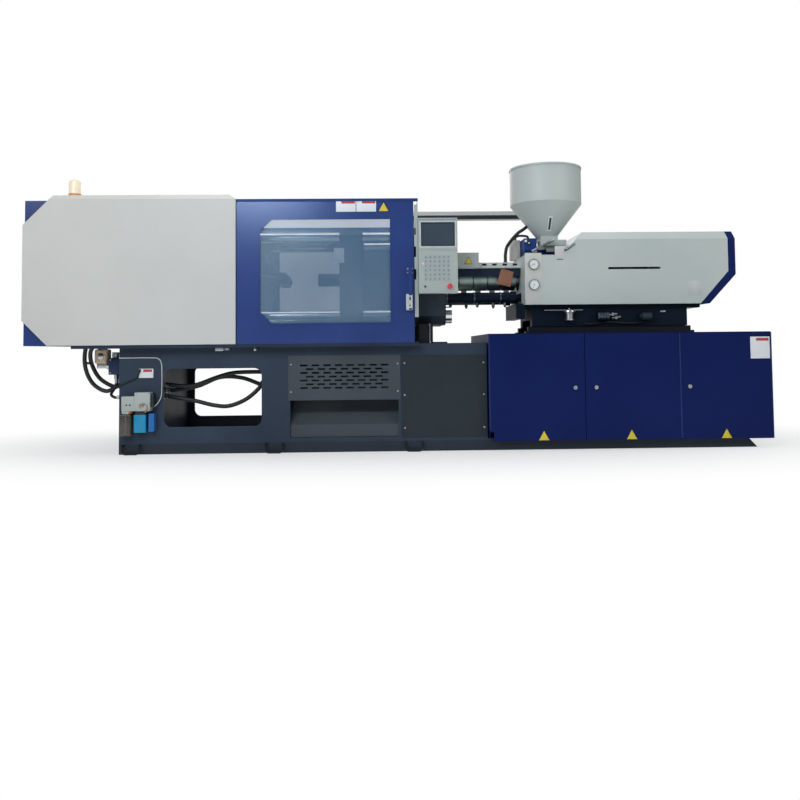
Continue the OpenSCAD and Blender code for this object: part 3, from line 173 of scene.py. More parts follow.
def steel(name, hexDark, hexLight, rough, along=(1, 1, 1), lineMm=0.8, cut=0.03):
    # bare steel: fine tool lines that stretch along the way it was machined
    material, tree, shader, where = newMaterial(name, hexDark, hexLight, 9.0, {"Metallic": 1.0})
    stretch = addNode(tree, "ShaderNodeMapping", {"Scale": along}, {"Vector": where})
    lines = addNode(tree, "ShaderNodeTexNoise", {"Scale": 500.0 / lineMm, "Detail": 2.0},
                    {"Vector": stretch.outputs["Vector"]})
    sheen(tree, shader, lines.outputs["Fac"], rough - 0.04, rough + 0.1)
    relief(tree, shader, lines.outputs["Fac"], cut, 0.0005)
    return material


def moulded(name, hexDark, hexLight, rough=0.4, grainMm=1.5, grain=0.05, glow=0.0):
    # injection-moulded plastic with a faint spark-eroded texture
    lit = {"Emission Color": hexColor(hexLight), "Emission Strength": glow} if glow else {}
    material, tree, shader, where = newMaterial(name, hexDark, hexLight, 12.0,
                                                {"Roughness": rough, "IOR": 1.49, **lit})
    speck = addNode(tree, "ShaderNodeTexNoise", {"Scale": 500.0 / grainMm, "Detail": 3.0},
                    {"Vector": where})
    relief(tree, shader, speck.outputs["Fac"], grain, 0.0005)
    return material


def rubber(name, hexDark, hexLight):
    # extruded hose cover: matt black with cloth-wrap marks, drawn at 6 mm to show
    material, tree, shader, where = newMaterial(name, hexDark, hexLight, 20.0, {"Roughness": 0.5})
    wrap = addNode(tree, "ShaderNodeTexWave", {"Scale": 26.0, "Distortion": 1.5, "Detail": 2.0},
                   {"Vector": where})
    relief(tree, shader, wrap.outputs["Fac"], 0.12)
    return material


def clearPane(name, tintDark, tintLight, alpha, rough=0.06):
    # clear plastic sheet: see-through with a cast of its own and slightly scuffed reflections
    material, tree, shader, where = newMaterial(name, tintDark, tintLight, 0.9,
                                                {"Alpha": alpha, "IOR": 1.58})
    scuff = addNode(tree, "ShaderNodeTexNoise", {"Scale": 14.0, "Detail": 6.0}, {"Vector": where})
    sheen(tree, shader, scuff.outputs["Fac"], rough, rough + 0.08)
    return material


finishes = {
    # frame enamel with painted shade: faces inside the bed and faces beyond its side plates are painted
    # near-black for the shade in the recesses and under the cabinet; above 0.074 m the tone is bluer and
    # lighter
    "frameEnamelShaded": paint("satin frame enamel with painted shade", "212a33", "2b3540", 0.42,
                        zones=(("above", 0.074, "263242", "334152"), ("inside", 0.4965, "101820", "171f29"),
                               ("outside", 0.506, "10151a", "181e24"))),
    # a darker, less shiny copy of the frame enamel for the plates inside the bed: painted shade
    "innerFrameShade": paint("frame enamel darkened as painted shade inside the bed", "141b25", "1c2530", 0.45, shine=0.1),
    "guidePaint": paint("guide rail enamel", "222d3d", "2d3a4c", 0.4, shine=0.15,
                        zones=(("above", 1.2, "1f3570", "284484"),)),
    "sheetGrey": paint("grey powder coat", "3c4449", "4a5257", 0.5, peelMm=2.0, peel=0.08),
    "sheetDark": paint("dark grey powder coat", "20292e", "2b3338", 0.5, peelMm=2.0, peel=0.08),
    "navyEnamel": paint("navy enamel", "0b1b50", "112159", 0.34, shine=0.1),
    "blueEnamel": paint("blue enamel", "1f3570", "284484", 0.34, coat=1.0, shine=0.1),
    "lightEnamel": paint("light grey enamel", "c3c3bd", "cacac4", 0.4),
    "paleEnamel": paint("pale grey-green enamel", "a5afa9", "b2bab4", 0.4),
    "coverEnamel": paint("cover enamel", "b5bfbb", "c0c8c2", 0.38),
    "carriageEnamel": paint("near-black enamel", "101b29", "172535", 0.36, shine=0.08,
                            zones=(("above", 1.4305, "132654", "1a2f62"),
                                   ("above", 1.4815, "203b7a", "2a4b90"))),
    "guardEnamel": paint("barrel guard enamel", "15243a", "1d2e46", 0.38,
                         zones=(("above", 1.3335, "bcc5bf", "c9d0ca"),)),
    "ironPaint": casting("painted cast iron", "222d36", "303c46"),
    "linkSteel": steel("oiled link steel", "4f5a62", "6b757c", 0.38, (1, 1, 1), 1.2, 0.06),
    "hardChrome": steel("hard chrome", "c4c8cb", "e2e4e6", 0.14, (6, 1, 1), 0.8, 0.01),
    "zinc": steel("bright zinc plate", "a9adb0", "cdd0d2", 0.3),
    "nitrided": steel("nitrided barrel steel", "6b7379", "8d949a", 0.34, (1, 0.2, 0.2), 1.0, 0.05),
    "bandSteel": steel("dull band steel", "7d918b", "a3b3ad", 0.42, (0.3, 1, 1), 1.5, 0.06),
    "brass": steel("machined brass", "a8843c", "c9a85c", 0.3),
    "blackHose": rubber("black hose rubber", "111416", "1e2225"),
    "gasket": rubber("black gasket rubber", "14171a", "22262a"),
    "redPlastic": moulded("red moulded nylon", "c23a44", "d9505a", 0.32),
    "beaconPlastic": moulded("opal acrylic", "ecd8b8", "f6e8d2", 0.22, glow=0.12),
    "beaconCap": moulded("orange beacon base", "c98a55", "dca070", 0.35),
    "reservoirPlastic": moulded("smoked polyethylene", "3f3a34", "655c50", 0.3),
    "cyanPlastic": moulded("cyan moulded plastic", "0a84b0", "1794c0", 0.35),
    "blueAnodised": paint("blue anodised block", "2766a4", "3178ba", 0.3),
    "orangePlastic": moulded("orange moulded plastic", "d07a3c", "e2914f", 0.4),
    "creamPlastic": moulded("cream junction box", "c6c2b8", "d4d0c6", 0.45),
    "blackPlastic": moulded("black moulded plastic", "17191b", "26292c", 0.42),
    "windowPane": clearPane("clear polycarbonate", "6286a6", "9cb6c8", 0.40),
    "rearPane": clearPane("scuffed rear polycarbonate", "566a7c", "7a8c9a", 0.5, 0.12),
    "clearLine": clearPane("clear nylon line", "b9bfc0", "d4d8d8", 0.85, 0.2),
    "screenGlass": clearPane("display glass", "384550", "4b5862", 1.0, 0.08),
    "manifoldPaint": paint("dark blue enamel", "1c2a4c", "273758", 0.4),
    # the coil's tan is painted much paler than its paint: painted light that makes up for the shade under
    # the cover
    "tanCoilPaintedLight": casting("tan coil casting lightened as painted light", "e6c8ac", "f4dcc2"),
    "dialWhite": moulded("white dial card", "dfe2e1", "eef0ef", 0.35),
    "dialMark": paint("printed grey marks", "4a5052", "5c6264", 0.5),
    "plateWhite": paint("white printed plate", "dcdfdf", "e8eaea", 0.35),
    "plateRed": paint("red printed band", "b8404c", "c85460", 0.4),
    "plateYellow": paint("yellow printed plate", "d3bd38", "e2cc46", 0.35),
    "tagCard": paint("brown card tag", "9c6a52", "b07f68", 0.7, peelMm=4.0, peel=0.2),
    "plateDark": paint("black printed rim", "1c1e1c", "292b28", 0.4),
    "latchGrey": moulded("pale grey moulding", "b4bab8", "c6cbc8", 0.4),
    "smokedPlastic": clearPane("smoked polycarbonate", "4a453c", "6a6356", 0.62, 0.12),
    "hingePaint": paint("painted hinge steel", "1c2a5e", "2a3a72", 0.35),
    "keyRubber": moulded("grey key film", "98a2a8", "a4adb0", 0.45),
    "keyInk": paint("printed key marks", "66758a", "76849a", 0.5),
    "ledRed": moulded("lit red lamp", "ff5a4a", "ff8070", 0.3, glow=1.5),
}

nodeFinish = {
    "bed_beams": "frameEnamelShaded", "bed_side_plates": "frameEnamelShaded", "bed_cross_plates": "innerFrameShade",
    "grille_panel": "sheetGrey", "side_panel": "sheetDark", "platen_shoes": "ironPaint",
    "drop_chute": "sheetGrey", "cabinet_body": "navyEnamel", "oil_tank": "frameEnamelShaded",
    "pump_motor": "ironPaint", "electric_plate": "paleEnamel", "cabinet_door_1": "navyEnamel",
    "cabinet_door_2": "navyEnamel", "cabinet_door_3": "navyEnamel", "clamp_shell": "blueEnamel",
    "cover_panels": "lightEnamel", "roof_panel": "lightEnamel", "beacon": "beaconPlastic",
    "door_guides": "guidePaint", "front_door": "blueEnamel", "front_window": "windowPane",
    "rear_door": "blueEnamel", "rear_window": "rearPane", "fixed_guard": "paleEnamel",
    "fixed_platen": "ironPaint", "tie_bars": "hardChrome", "tail_platen": "ironPaint",
    "clamp_cylinder": "ironPaint", "moving_platen": "ironPaint", "ejector_rod": "hardChrome",
    "crosshead": "ironPaint", "upper_rear_link": "linkSteel", "lower_rear_link": "linkSteel",
    "upper_front_link": "linkSteel", "lower_front_link": "linkSteel",
    "upper_cross_link": "linkSteel", "lower_cross_link": "linkSteel",
    "control_panel": "paleEnamel", "display": "screenGlass", "stop_button": "redPlastic",
    "cable_duct": "lightEnamel", "seat_cylinders": "carriageEnamel", "purge_guard": "paleEnamel",
    "lube_pump": "paleEnamel", "lube_tank": "reservoirPlastic", "hydraulic_hoses": "blackHose",
    "clamp_manifold": "manifoldPaint", "carriage_frame": "carriageEnamel",
    "injection_cover": "coverEnamel", "cover_end_cap": "navyEnamel", "pressure_dials": "dialWhite",
    "barrel": "nitrided", "heater_bands": "bandSteel", "barrel_guard": "guardEnamel",
    "ram_plate": "ironPaint", "screw": "hardChrome", "hopper": "coverEnamel",
    "hopper_lid": "coverEnamel", "hopper_gate": "zinc", "conduits": "blackHose",
}
for nodeName, finish in nodeFinish.items():
    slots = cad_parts[nodeName].data.materials
    slots.clear()
    slots.append(finishes[finish])
print("finishes given to", len(nodeFinish), "nodes")


def joinInto(bm, part):
    # adds a finished small shape to the piece that is being made
    temp = bpy.data.meshes.new("part")
    part.to_mesh(temp)
    part.free()
    bm.from_mesh(temp)
    bpy.data.meshes.remove(temp)


def block(bm, low, high, bevel=0.0, segments=2):
    # a box with rounded edges
    part = bmesh.new()
    bmesh.ops.create_cube(part, size=1)
    for v in part.verts:
        v.co = Vector([low[i] + (v.co[i] + 0.5) * (high[i] - low[i]) for i in range(3)])
    if bevel:
        bmesh.ops.bevel(part, geom=part.edges[:], offset=bevel, segments=segments, affect="EDGES",
                        profile=0.5)
    joinInto(bm, part)


def prism(bm, outline, y0, y1, bevel=0.0):
    # an outline in X and Z, raised from y0 to y1
    part = bmesh.new()
    face = part.faces.new([part.verts.new((x, y0, z)) for x, z in outline])
    grown = bmesh.ops.extrude_face_region(part, geom=[face])
    for item in grown["geom"]:
        if isinstance(item, bmesh.types.BMVert):
            item.co.y = y1
    if bevel:
        bmesh.ops.bevel(part, geom=part.edges[:], offset=bevel, segments=2, affect="EDGES", profile=0.5)
    joinInto(bm, part)


def skin(part, loops, pairs):
    # faces between pairs of closed loops that have the same number of points
    rings = [[part.verts.new(point) for point in loop] for loop in loops]
    for a, b in pairs:
        for k in range(len(rings[a])):
            n = (k + 1) % len(rings[a])
            part.faces.new([rings[a][k], rings[a][n], rings[b][n], rings[b][k]])
    return rings


frameSides = ((0, 1), (1, 3), (3, 2), (2, 0))    # outer and inner loop, then the same two further on


def ringPrism(bm, outer, inner, y0, y1):
    # a flat frame between two outlines in X and Z with the same number of corners
    part = bmesh.new()
    skin(part, [[(x, y, z) for x, z in line] for y in (y0, y1) for line in (outer, inner)], frameSides)
    joinInto(bm, part)


def circle(centre, side, across, radius, sides, flute=0.0):
    # points on a circle; flute sinks every second pair of them by that share of the radius
    points = []
    for k in range(sides):
        angle, reach = 2 * math.pi * k / sides, radius * (1 - flute * (k % 4 > 1))
        points.append(centre + reach * (math.cos(angle) * side + math.sin(angle) * across))
    return points


def turned(bm, profile, centre, axis, sides=28, flute=0.0):
    # a solid of revolution; profile holds (radius, distance along the axis)
    axis = Vector(axis).normalized()
    side = axis.orthogonal().normalized()
    across = axis.cross(side)
    part = bmesh.new()
    rings = []
    for radius, along in profile:
        base = Vector(centre) + axis * along
        points = circle(base, side, across, radius, sides, flute) if radius > 1e-6 else [base]
        rings.append([part.verts.new(point) for point in points])
    for lower, upper in zip(rings, rings[1:]):
        for k in range(sides):
            n = (k + 1) % sides
            corners = [lower[k % len(lower)], lower[n % len(lower)], upper[n % len(upper)],
                       upper[k % len(upper)]]
            corners = [v for i, v in enumerate(corners) if v not in corners[:i]]
            if len(corners) > 2:
                part.faces.new(corners)
    joinInto(bm, part)


def rod(bm, start, end, radius, bevel=0.001, sides=24):
    # a round bar with chamfered ends
    start = Vector(start)
    length = (Vector(end) - start).length
    turned(bm, [(0, 0), (radius - bevel, 0), (radius, bevel), (radius, length - bevel),
                (radius - bevel, length), (0, length)], start, Vector(end) - start, sides)


def smoothPath(points, steps):
    # Catmull-Rom curve through given points, as in the solids
    line = [Vector(p) for p in points]
    path = []
    for i in range(len(line) - 1):
        a, b, c, d = line[max(i - 1, 0)], line[i], line[i + 1], line[min(i + 2, len(line) - 1)]
        for k in range(steps):
            t = k / steps
            path.append(0.5 * (2 * b + (c - a) * t + (2 * a - 5 * b + 4 * c - d) * t * t
                               + (3 * b - a - 3 * c + d) * t * t * t))
    path.append(line[-1])
    return path


def pipe(bm, points, radius, sides=14, steps=6):
    # a round tube along a smooth path, its ends square to the first and last leg
    path = smoothPath(points, steps)
    tangents = [(path[min(i + 1, len(path) - 1)] - path[max(i - 1, 0)]).normalized()
                for i in range(len(path))]
    side = tangents[0].orthogonal().normalized()
    loops = []
    for middle, tangent in zip(path, tangents):
        side = (side - tangent * side.dot(tangent)).normalized()
        loops.append(circle(middle, side, tangent.cross(side), radius, sides))
    part = bmesh.new()
    rings = skin(part, loops, [(k, k + 1) for k in range(len(loops) - 1)])
    part.faces.new(rings[0])
    part.faces.new(rings[-1])
    joinInto(bm, part)


def place(piece, body, replaced=()):
    # links a piece, ties it to its body and hides the solids that it stands for
    bpy.context.scene.collection.objects.link(piece)
    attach(piece, body)
    if replaced:
        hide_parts(*replaced)


sharpAngle = math.radians(35)    # edges that turn more than this stay crisp


def dress(mesh, finish):
    mesh.materials.append(finishes[finish])
    mesh.polygons.foreach_set("use_smooth", [True] * len(mesh.polygons))
    mesh.set_sharp_from_angle(angle=sharpAngle)


def addPiece(name, body, finish, bm, replaced=()):
    # turns a mesh under construction into a piece that rides on a body
    bmesh.ops.recalc_face_normals(bm, faces=bm.faces[:])
    mesh = bpy.data.meshes.new(name)
    bm.to_mesh(mesh)
    bm.free()
    dress(mesh, finish)
    place(bpy.data.objects.new(name, mesh), body, replaced)


def addShapes(name, body, finish, shapes, replaced=()):
    # a piece that is made of plain shapes; shapes holds (function, what it is given)
    bm = bmesh.new()
    for shape, *given in shapes:
        shape(bm, *given)
    addPiece(name, body, finish, bm, replaced)


socketKinds = {float: "Float", int: "Int", tuple: "Vector"}


def newGroup(name, inputs):
    # a geometry tree whose inputs are named; inputs holds their first values
    tree = bpy.data.node_groups.new(name, "GeometryNodeTree")
    tree.interface.new_socket("Geometry", in_out="INPUT", socket_type="NodeSocketGeometry")
    for label, value in inputs.items():
        socket = tree.interface.new_socket(label, in_out="INPUT",
                                           socket_type="NodeSocket" + socketKinds[type(value)])
        socket.default_value = value
    tree.interface.new_socket("Material", in_out="INPUT", socket_type="NodeSocketMaterial")
    tree.interface.new_socket("Geometry", in_out="OUTPUT", socket_type="NodeSocketGeometry")
    return tree, tree.nodes.new("NodeGroupInput").outputs


def closeGroup(tree, given, geometry):
    # every group ends as real geometry with its material
    real = addNode(tree, "GeometryNodeRealizeInstances", links={"Geometry": geometry})
    dressed = addNode(tree, "GeometryNodeSetMaterial",
                      links={"Geometry": real, "Material": given["Material"]})
    addNode(tree, "NodeGroupOutput", links={"Geometry": dressed})
    return tree


def grow(name, body, group, finish, values, points=((0, 0, 0),), edges=(), replaced=()):
    # runs a group on plain points and keeps its result as an ordinary mesh
    base = bpy.data.meshes.new(name + "Base")
    base.from_pydata([tuple(p) for p in points], list(edges), [])
    holder = bpy.data.objects.new(name + "Base", base)
    bpy.context.scene.collection.objects.link(holder)
    modifier = holder.modifiers.new("grow", "NODES")
    modifier.node_group = group
    for item in group.interface.items_tree:
        if item.item_type == "SOCKET" and item.in_out == "INPUT":
            if item.name in values:
                modifier[item.identifier] = values[item.name]
            elif item.name == "Material":
                modifier[item.identifier] = finishes[finish]
    bpy.context.view_layer.update()
    ready = holder.evaluated_get(bpy.context.evaluated_depsgraph_get())
    mesh = bpy.data.meshes.new_from_object(ready)
    mesh.name = name
    bpy.data.objects.remove(holder)
    bpy.data.meshes.remove(base)
    mesh.materials.clear()
    dress(mesh, finish)
    place(bpy.data.objects.new(name, mesh), body, replaced)


def makeScrewGroup():
    # a chamfered cap head with a hexagon socket on every point, each turned a little differently
    tree, given = newGroup("socketScrews", {"Head Radius": 0.009,
                                            "Head Height": 0.006,
                                            "Socket Radius": 0.0045,
                                            "Facing": (math.radians(90), 0.0, 0.0),
                                            "Seed": 7})
    top = addNode(tree, "ShaderNodeMath", {"operation": "MULTIPLY", 1: 0.86}, {0: given["Head Radius"]})
    head = addNode(tree, "GeometryNodeMeshCone", {"Vertices": 24},
                   {"Radius Top": top, "Radius Bottom": given["Head Radius"],
                    "Depth": given["Head Height"]})
    bore = addNode(tree, "GeometryNodeMeshCylinder", {"Vertices": 6},
                   {"Radius": given["Socket Radius"], "Depth": given["Head Height"]})
    lift = addNode(tree, "ShaderNodeMath", {"operation": "MULTIPLY", 1: 0.95}, {0: given["Head Height"]})
    up = addNode(tree, "ShaderNodeCombineXYZ", links={"Z": lift})
    raised = addNode(tree, "GeometryNodeTransform",
                     links={"Geometry": bore.outputs["Mesh"], "Translation": up})
    cut = addNode(tree, "GeometryNodeMeshBoolean", {"operation": "DIFFERENCE"},
                  {"Mesh 1": head.outputs["Mesh"], "Mesh 2": raised})
    points = addNode(tree, "GeometryNodeInstanceOnPoints",
                     links={"Points": given["Geometry"], "Instance": cut.outputs["Mesh"],
                            "Rotation": given["Facing"]})
    chance = addNode(tree, "FunctionNodeRandomValue", {"data_type": "FLOAT"}, {"Seed": given["Seed"]})
    chance.inputs[3].default_value = 1.05
    spin = addNode(tree, "ShaderNodeCombineXYZ", links={"Z": chance.outputs[1]})
    turn = addNode(tree, "GeometryNodeRotateInstances",
                   links={"Instances": points, "Rotation": spin})
    return closeGroup(tree, given, turn)


def makeKeyGroup():
    # a grid of keys with rounded corners, facing the front
    tree, given = newGroup("keyRows", {
        "Columns": 6, "Rows": 6, "Pitch X": 0.032, "Pitch Z": 0.031,
        "Key Size": 0.019, "Corner": 0.003, "Rise": 0.0012,
        "Middle": (0.0, 0.0, 0.0)})

    def span(count, pitch):
        less = addNode(tree, "ShaderNodeMath", {"operation": "SUBTRACT", 1: 1.0}, {0: count})
        return addNode(tree, "ShaderNodeMath", {"operation": "MULTIPLY"}, {0: less, 1: pitch})

    grid = addNode(tree, "GeometryNodeMeshGrid",
                   links={"Size X": span(given["Columns"], given["Pitch X"]),
                          "Size Y": span(given["Rows"], given["Pitch Z"]),
                          "Vertices X": given["Columns"], "Vertices Y": given["Rows"]})
    square = addNode(tree, "GeometryNodeCurvePrimitiveQuadrilateral",
                     links={"Width": given["Key Size"], "Height": given["Key Size"]})
    softer = addNode(tree, "GeometryNodeFilletCurve", {"mode": "POLY", "Count": 3},
                     {"Curve": square, "Radius": given["Corner"]})
    filled = addNode(tree, "GeometryNodeFillCurve", {"mode": "NGONS"}, {"Curve": softer})
    raised = addNode(tree, "GeometryNodeExtrudeMesh",
                     links={"Mesh": filled, "Offset Scale": given["Rise"]})
    back = addNode(tree, "GeometryNodeFlipFaces", links={"Mesh": filled})
    both = addNode(tree, "GeometryNodeJoinGeometry")
    tree.links.new(raised.outputs["Mesh"], both.inputs[0])
    tree.links.new(back.outputs[0], both.inputs[0])
    whole = addNode(tree, "GeometryNodeMergeByDistance", {"Distance": 0.00001},
                    {"Geometry": both})
    keys = addNode(tree, "GeometryNodeInstanceOnPoints",
                   links={"Points": grid.outputs["Mesh"], "Instance": whole})
    upright = addNode(tree, "GeometryNodeTransform", {"Rotation": (math.radians(90), 0.0, 0.0)},
                      {"Geometry": keys, "Translation": given["Middle"]})
    return closeGroup(tree, given, upright)


def makeKnuckleGroup():
    # the knuckles of a piano hinge, one above the other
    tree, given = newGroup("hingeKnuckles", {"Count": 24, "Length": 0.7,
                                             "Gap": 0.0012, "Radius": 0.0045,
                                             "Foot": (0.0, 0.0, 0.0)})
    pitch = addNode(tree, "ShaderNodeMath", {"operation": "DIVIDE"},
                    {0: given["Length"], 1: given["Count"]})
    step = addNode(tree, "ShaderNodeCombineXYZ", links={"Z": pitch})
    line = addNode(tree, "GeometryNodeMeshLine", {"mode": "OFFSET"},
                   {"Count": given["Count"], "Start Location": given["Foot"], "Offset": step})
    tall = addNode(tree, "ShaderNodeMath", {"operation": "SUBTRACT"},
                   {0: pitch, 1: given["Gap"]})
    barrel = addNode(tree, "GeometryNodeMeshCylinder", {"Vertices": 14},
                     {"Radius": given["Radius"], "Depth": tall})
    row = addNode(tree, "GeometryNodeInstanceOnPoints",
                  links={"Points": line, "Instance": barrel.outputs["Mesh"]})
    return closeGroup(tree, given, row)


def makeTickGroup():
    # short marks round a dial that faces the front
    tree, given = newGroup("dialTicks", {
        "Count": 25, "Sweep": math.radians(270), "Reach": 0.029,
        "Tick": (0.005, 0.0008, 0.0004), "Middle": (0.0, 0.0, 0.0)})
    less = addNode(tree, "ShaderNodeMath", {"operation": "SUBTRACT", 1: 1.0}, {0: given["Count"]})
    part = addNode(tree, "ShaderNodeMath", {"operation": "DIVIDE"}, {0: given["Sweep"], 1: less})
    index = addNode(tree, "GeometryNodeInputIndex")
    angle = addNode(tree, "ShaderNodeMath", {"operation": "MULTIPLY_ADD", 2: math.radians(-45)},
                    {0: index, 1: part})
    turn = addNode(tree, "ShaderNodeCombineXYZ", links={"Z": angle})
    dots = addNode(tree, "GeometryNodeMeshLine", {"mode": "OFFSET", "Offset": (0.0, 0.0, 0.0)},
                   {"Count": given["Count"]})
    mark = addNode(tree, "GeometryNodeMeshCube", links={"Size": given["Tick"]})
    out = addNode(tree, "ShaderNodeCombineXYZ", links={"X": given["Reach"]})
    moved = addNode(tree, "GeometryNodeTransform",
                    links={"Geometry": mark.outputs["Mesh"], "Translation": out})
    fan = addNode(tree, "GeometryNodeInstanceOnPoints", links={"Points": dots,
                                                               "Instance": moved,
                                                               "Rotation": turn})
    upright = addNode(tree, "GeometryNodeTransform", {"Rotation": (math.radians(90), 0.0, 0.0)},
                      {"Geometry": fan, "Translation": given["Middle"]})
    return closeGroup(tree, given, upright)


def makeRibbedGroup():
    # a corrugated conduit: its radius swells and shrinks at an even pitch along the route
    tree, given = newGroup("ribbedConduit", {
        "Radius": 0.0135, "Rib": 0.0012, "Pitch": 0.009})
    route = addNode(tree, "GeometryNodeMeshToCurve", links={"Mesh": given["Geometry"]})
    step = addNode(tree, "ShaderNodeMath", {"operation": "DIVIDE", 1: 5.0}, {0: given["Pitch"]})
    fine = addNode(tree, "GeometryNodeResampleCurve", {"mode": "LENGTH"},
                   {"Curve": route, "Length": step})
    along = addNode(tree, "GeometryNodeSplineParameter")
    share = addNode(tree, "ShaderNodeMath", {"operation": "DIVIDE"},
                    {0: along.outputs["Length"], 1: given["Pitch"]})
    phase = addNode(tree, "ShaderNodeMath", {"operation": "MULTIPLY", 1: 2 * math.pi},
                    {0: share})
    wave = addNode(tree, "ShaderNodeMath", {"operation": "COSINE"}, {0: phase})
    swell = addNode(tree, "ShaderNodeMath", {"operation": "MULTIPLY_ADD"},
                    {0: wave, 1: given["Rib"], 2: given["Radius"]})
    sized = addNode(tree, "GeometryNodeSetCurveRadius", links={"Curve": fine,
                                                               "Radius": swell})
    ring = addNode(tree, "GeometryNodeCurvePrimitiveCircle", {"Resolution": 14, "Radius": 1.0})
    tube = addNode(tree, "GeometryNodeCurveToMesh", {"Fill Caps": True},
                   {"Curve": sized, "Profile Curve": ring})
    if "Scale" in tube.inputs:
        radius = addNode(tree, "GeometryNodeInputRadius")
        tree.links.new(radius.outputs[0], tube.inputs["Scale"])
    return closeGroup(tree, given, tube)


screwGroup = makeScrewGroup()
keyGroup = makeKeyGroup()
knuckleGroup = makeKnuckleGroup()
tickGroup = makeTickGroup()
ribbedGroup = makeRibbedGroup()
print("geometry groups ready")


def addScrews(name, body, radius, height, socket, points, replaced=()):
    # zinc-plated socket screws that face the front
    grow(name, body, screwGroup, "zinc",
         {"Head Radius": radius, "Head Height": height, "Socket Radius": socket}, points,
         replaced=replaced)


doorMarks = {
    "face": -0.588,                                 # the front door's outer face
    "plates": ((-0.459, -0.319), (-0.315, -0.175)),  # from, to in X
    "plateHeight": (1.701, 1.780),
    "triangle": (-0.1215, 1.700, 0.083),             # middle, foot, width
}


def plate(name, body, x0, x1, z0, z1, face, bandFrom=0.0, bandTo=1.0, bandHigh=0.24):
    # a bare white plate, with a plain red band along its top where bandHigh is given
    addShapes(name, body, "plateWhite", [(block, (x0, face - 0.0014, z0), (x1, face, z1), 0.0006)])
    if bandHigh:
        width, top = x1 - x0, z1 - 0.06 * (z1 - z0)
        addShapes(name + "Band", body, "plateRed", [
            (block, (x0 + bandFrom * width, face - 0.0018, top - bandHigh * (z1 - z0)),
             (x0 + bandTo * width - 0.003, face - 0.0012, top), 0.0002)])


def triangle(name, body, middle, foot, width, face):
    # a bare yellow triangle plate with rounded corners and a thin dark rim
    high = width * 0.9
    for part, shrink, finish, lift in (("", 0.0, "plateDark", 0.0), ("Field", 0.09, "plateYellow", 0.0006)):
        half = width / 2 * (1 - 1.9 * shrink)
        low = foot + high * shrink * 0.62
        addShapes(name + part, body, finish, [
            (prism, [(middle - half, low), (middle + half, low),
                     (middle, low + high * (1 - 1.9 * shrink))], face - 0.0012 - lift, face, 0.0004)])


def makeDoorMarks(s):
    for k, (x0, x1) in enumerate(s["plates"]):
        plate("doorPlate%d" % (k + 1), "front_door", x0, x1, *s["plateHeight"], s["face"], 0.28, 0.98, 0.2)
    triangle("doorTriangle", "front_door", *s["triangle"], s["face"])


makeDoorMarks(doorMarks)

doorHandle = {
    "bar": (0.050, 0.074),      # the handle's bar in X
    "grip": (0.998, 1.111),     # pale latch body in Z
    "front": -0.6375,
}


def makeDoorHandle(s):
    # the pale latch at the handle's foot, with its screws and the dark slider
    x0, x1 = s["bar"][0] - 0.019, s["bar"][1] + 0.003
    addShapes("doorLatch", "front_door", "latchGrey", [
        (block, (x0, s["front"] + 0.006, s["grip"][0]), (x1, -0.588, s["grip"][1]), 0.004, 3),
        (block, (s["bar"][0] - 0.003, s["front"], s["grip"][0] + 0.012),
         (x1 - 0.002, -0.6, s["grip"][1] - 0.01), 0.003, 3)])
    addShapes("doorLatchSlider", "front_door", "blackPlastic", [
        (block, (s["bar"][0] + 0.002, s["front"] - 0.001, 1.066), (s["bar"][0] + 0.014, -0.62, 1.092),
         0.002),
        (block, (s["bar"][0] + 0.002, s["front"] - 0.001, 1.022), (s["bar"][0] + 0.012, -0.62, 1.036),
         0.002)])
    addShapes("doorHandleFoot", "front_door", "blueEnamel", [
        (block, (s["bar"][0] - 0.012, -0.5945, 1.254), (s["bar"][1] + 0.01, -0.588, 1.302), 0.002)])
    addScrews("doorHandleScrews", "front_door", 0.0045, 0.003, 0.0022,
              [(x, -0.5945, z) for x in (s["bar"][0] - 0.007, s["bar"][1] + 0.005)
               for z in (1.263, 1.293)])


makeDoorHandle(doorHandle)

windowSeal = {
    "x": (-1.003, -0.071),     # the window's opening
    "z": (0.907, 1.654),
    "corner": 0.082,
    "lip": 0.007,
}


def makeWindowSeal(s, name, body, finish, face, sign):
    # profile round the pane, with the two cut corners of the opening
    def outline(d):
        (x0, x1), (z0, z1), c = s["x"], s["z"], s["corner"]
        x0, x1, z0, z1 = x0 - d, x1 + d, z0 - d, z1 + d
        return [(x0 + c, z0), (x1, z0), (x1, z1), (x0 + c, z1), (x0, z1 - c), (x0, z0 + c)]
    addShapes(name, body, finish, [
        (ringPrism, outline(s["lip"] * 0.4), outline(-s["lip"]), face - sign * 0.0005,
         face + sign * 0.0018)])


def makeRearSheet(s):
    # the rear door's window is closed by a bare sheet at its fixed-platen end
    x1, (z0, z1) = s["x"][1], s["z"]
    addShapes("rearDoorSheet", "rear_door", "sheetGrey", [
        (block, (-0.300, 0.5712, z0 + 0.001), (x1 - 0.001, 0.5745, z1 - 0.001), 0.0008),
        (block, (-0.303, 0.5690, z0 + 0.001), (-0.288, 0.5745, z1 - 0.001), 0.0008)])


makeRearSheet(windowSeal)
makeWindowSeal(windowSeal, "frontWindowSeal", "front_door", "blueEnamel", -0.588, -1)
makeWindowSeal(windowSeal, "rearWindowSeal", "rear_door", "gasket", 0.588, 1)
print("doors dressed")

controlPanel = {
    "face": -0.600,
    "screen": ((0.142, 0.381), (1.451, 1.620)),
    "keys": ((0.1738, 1.218), 0.032, 0.031),    # first key's middle, pitch in X and Z
    "lock": (0.168, 1.164),
    "stop": (0.341, 1.165),
    "lamp": (0.1655, 1.3265),
}


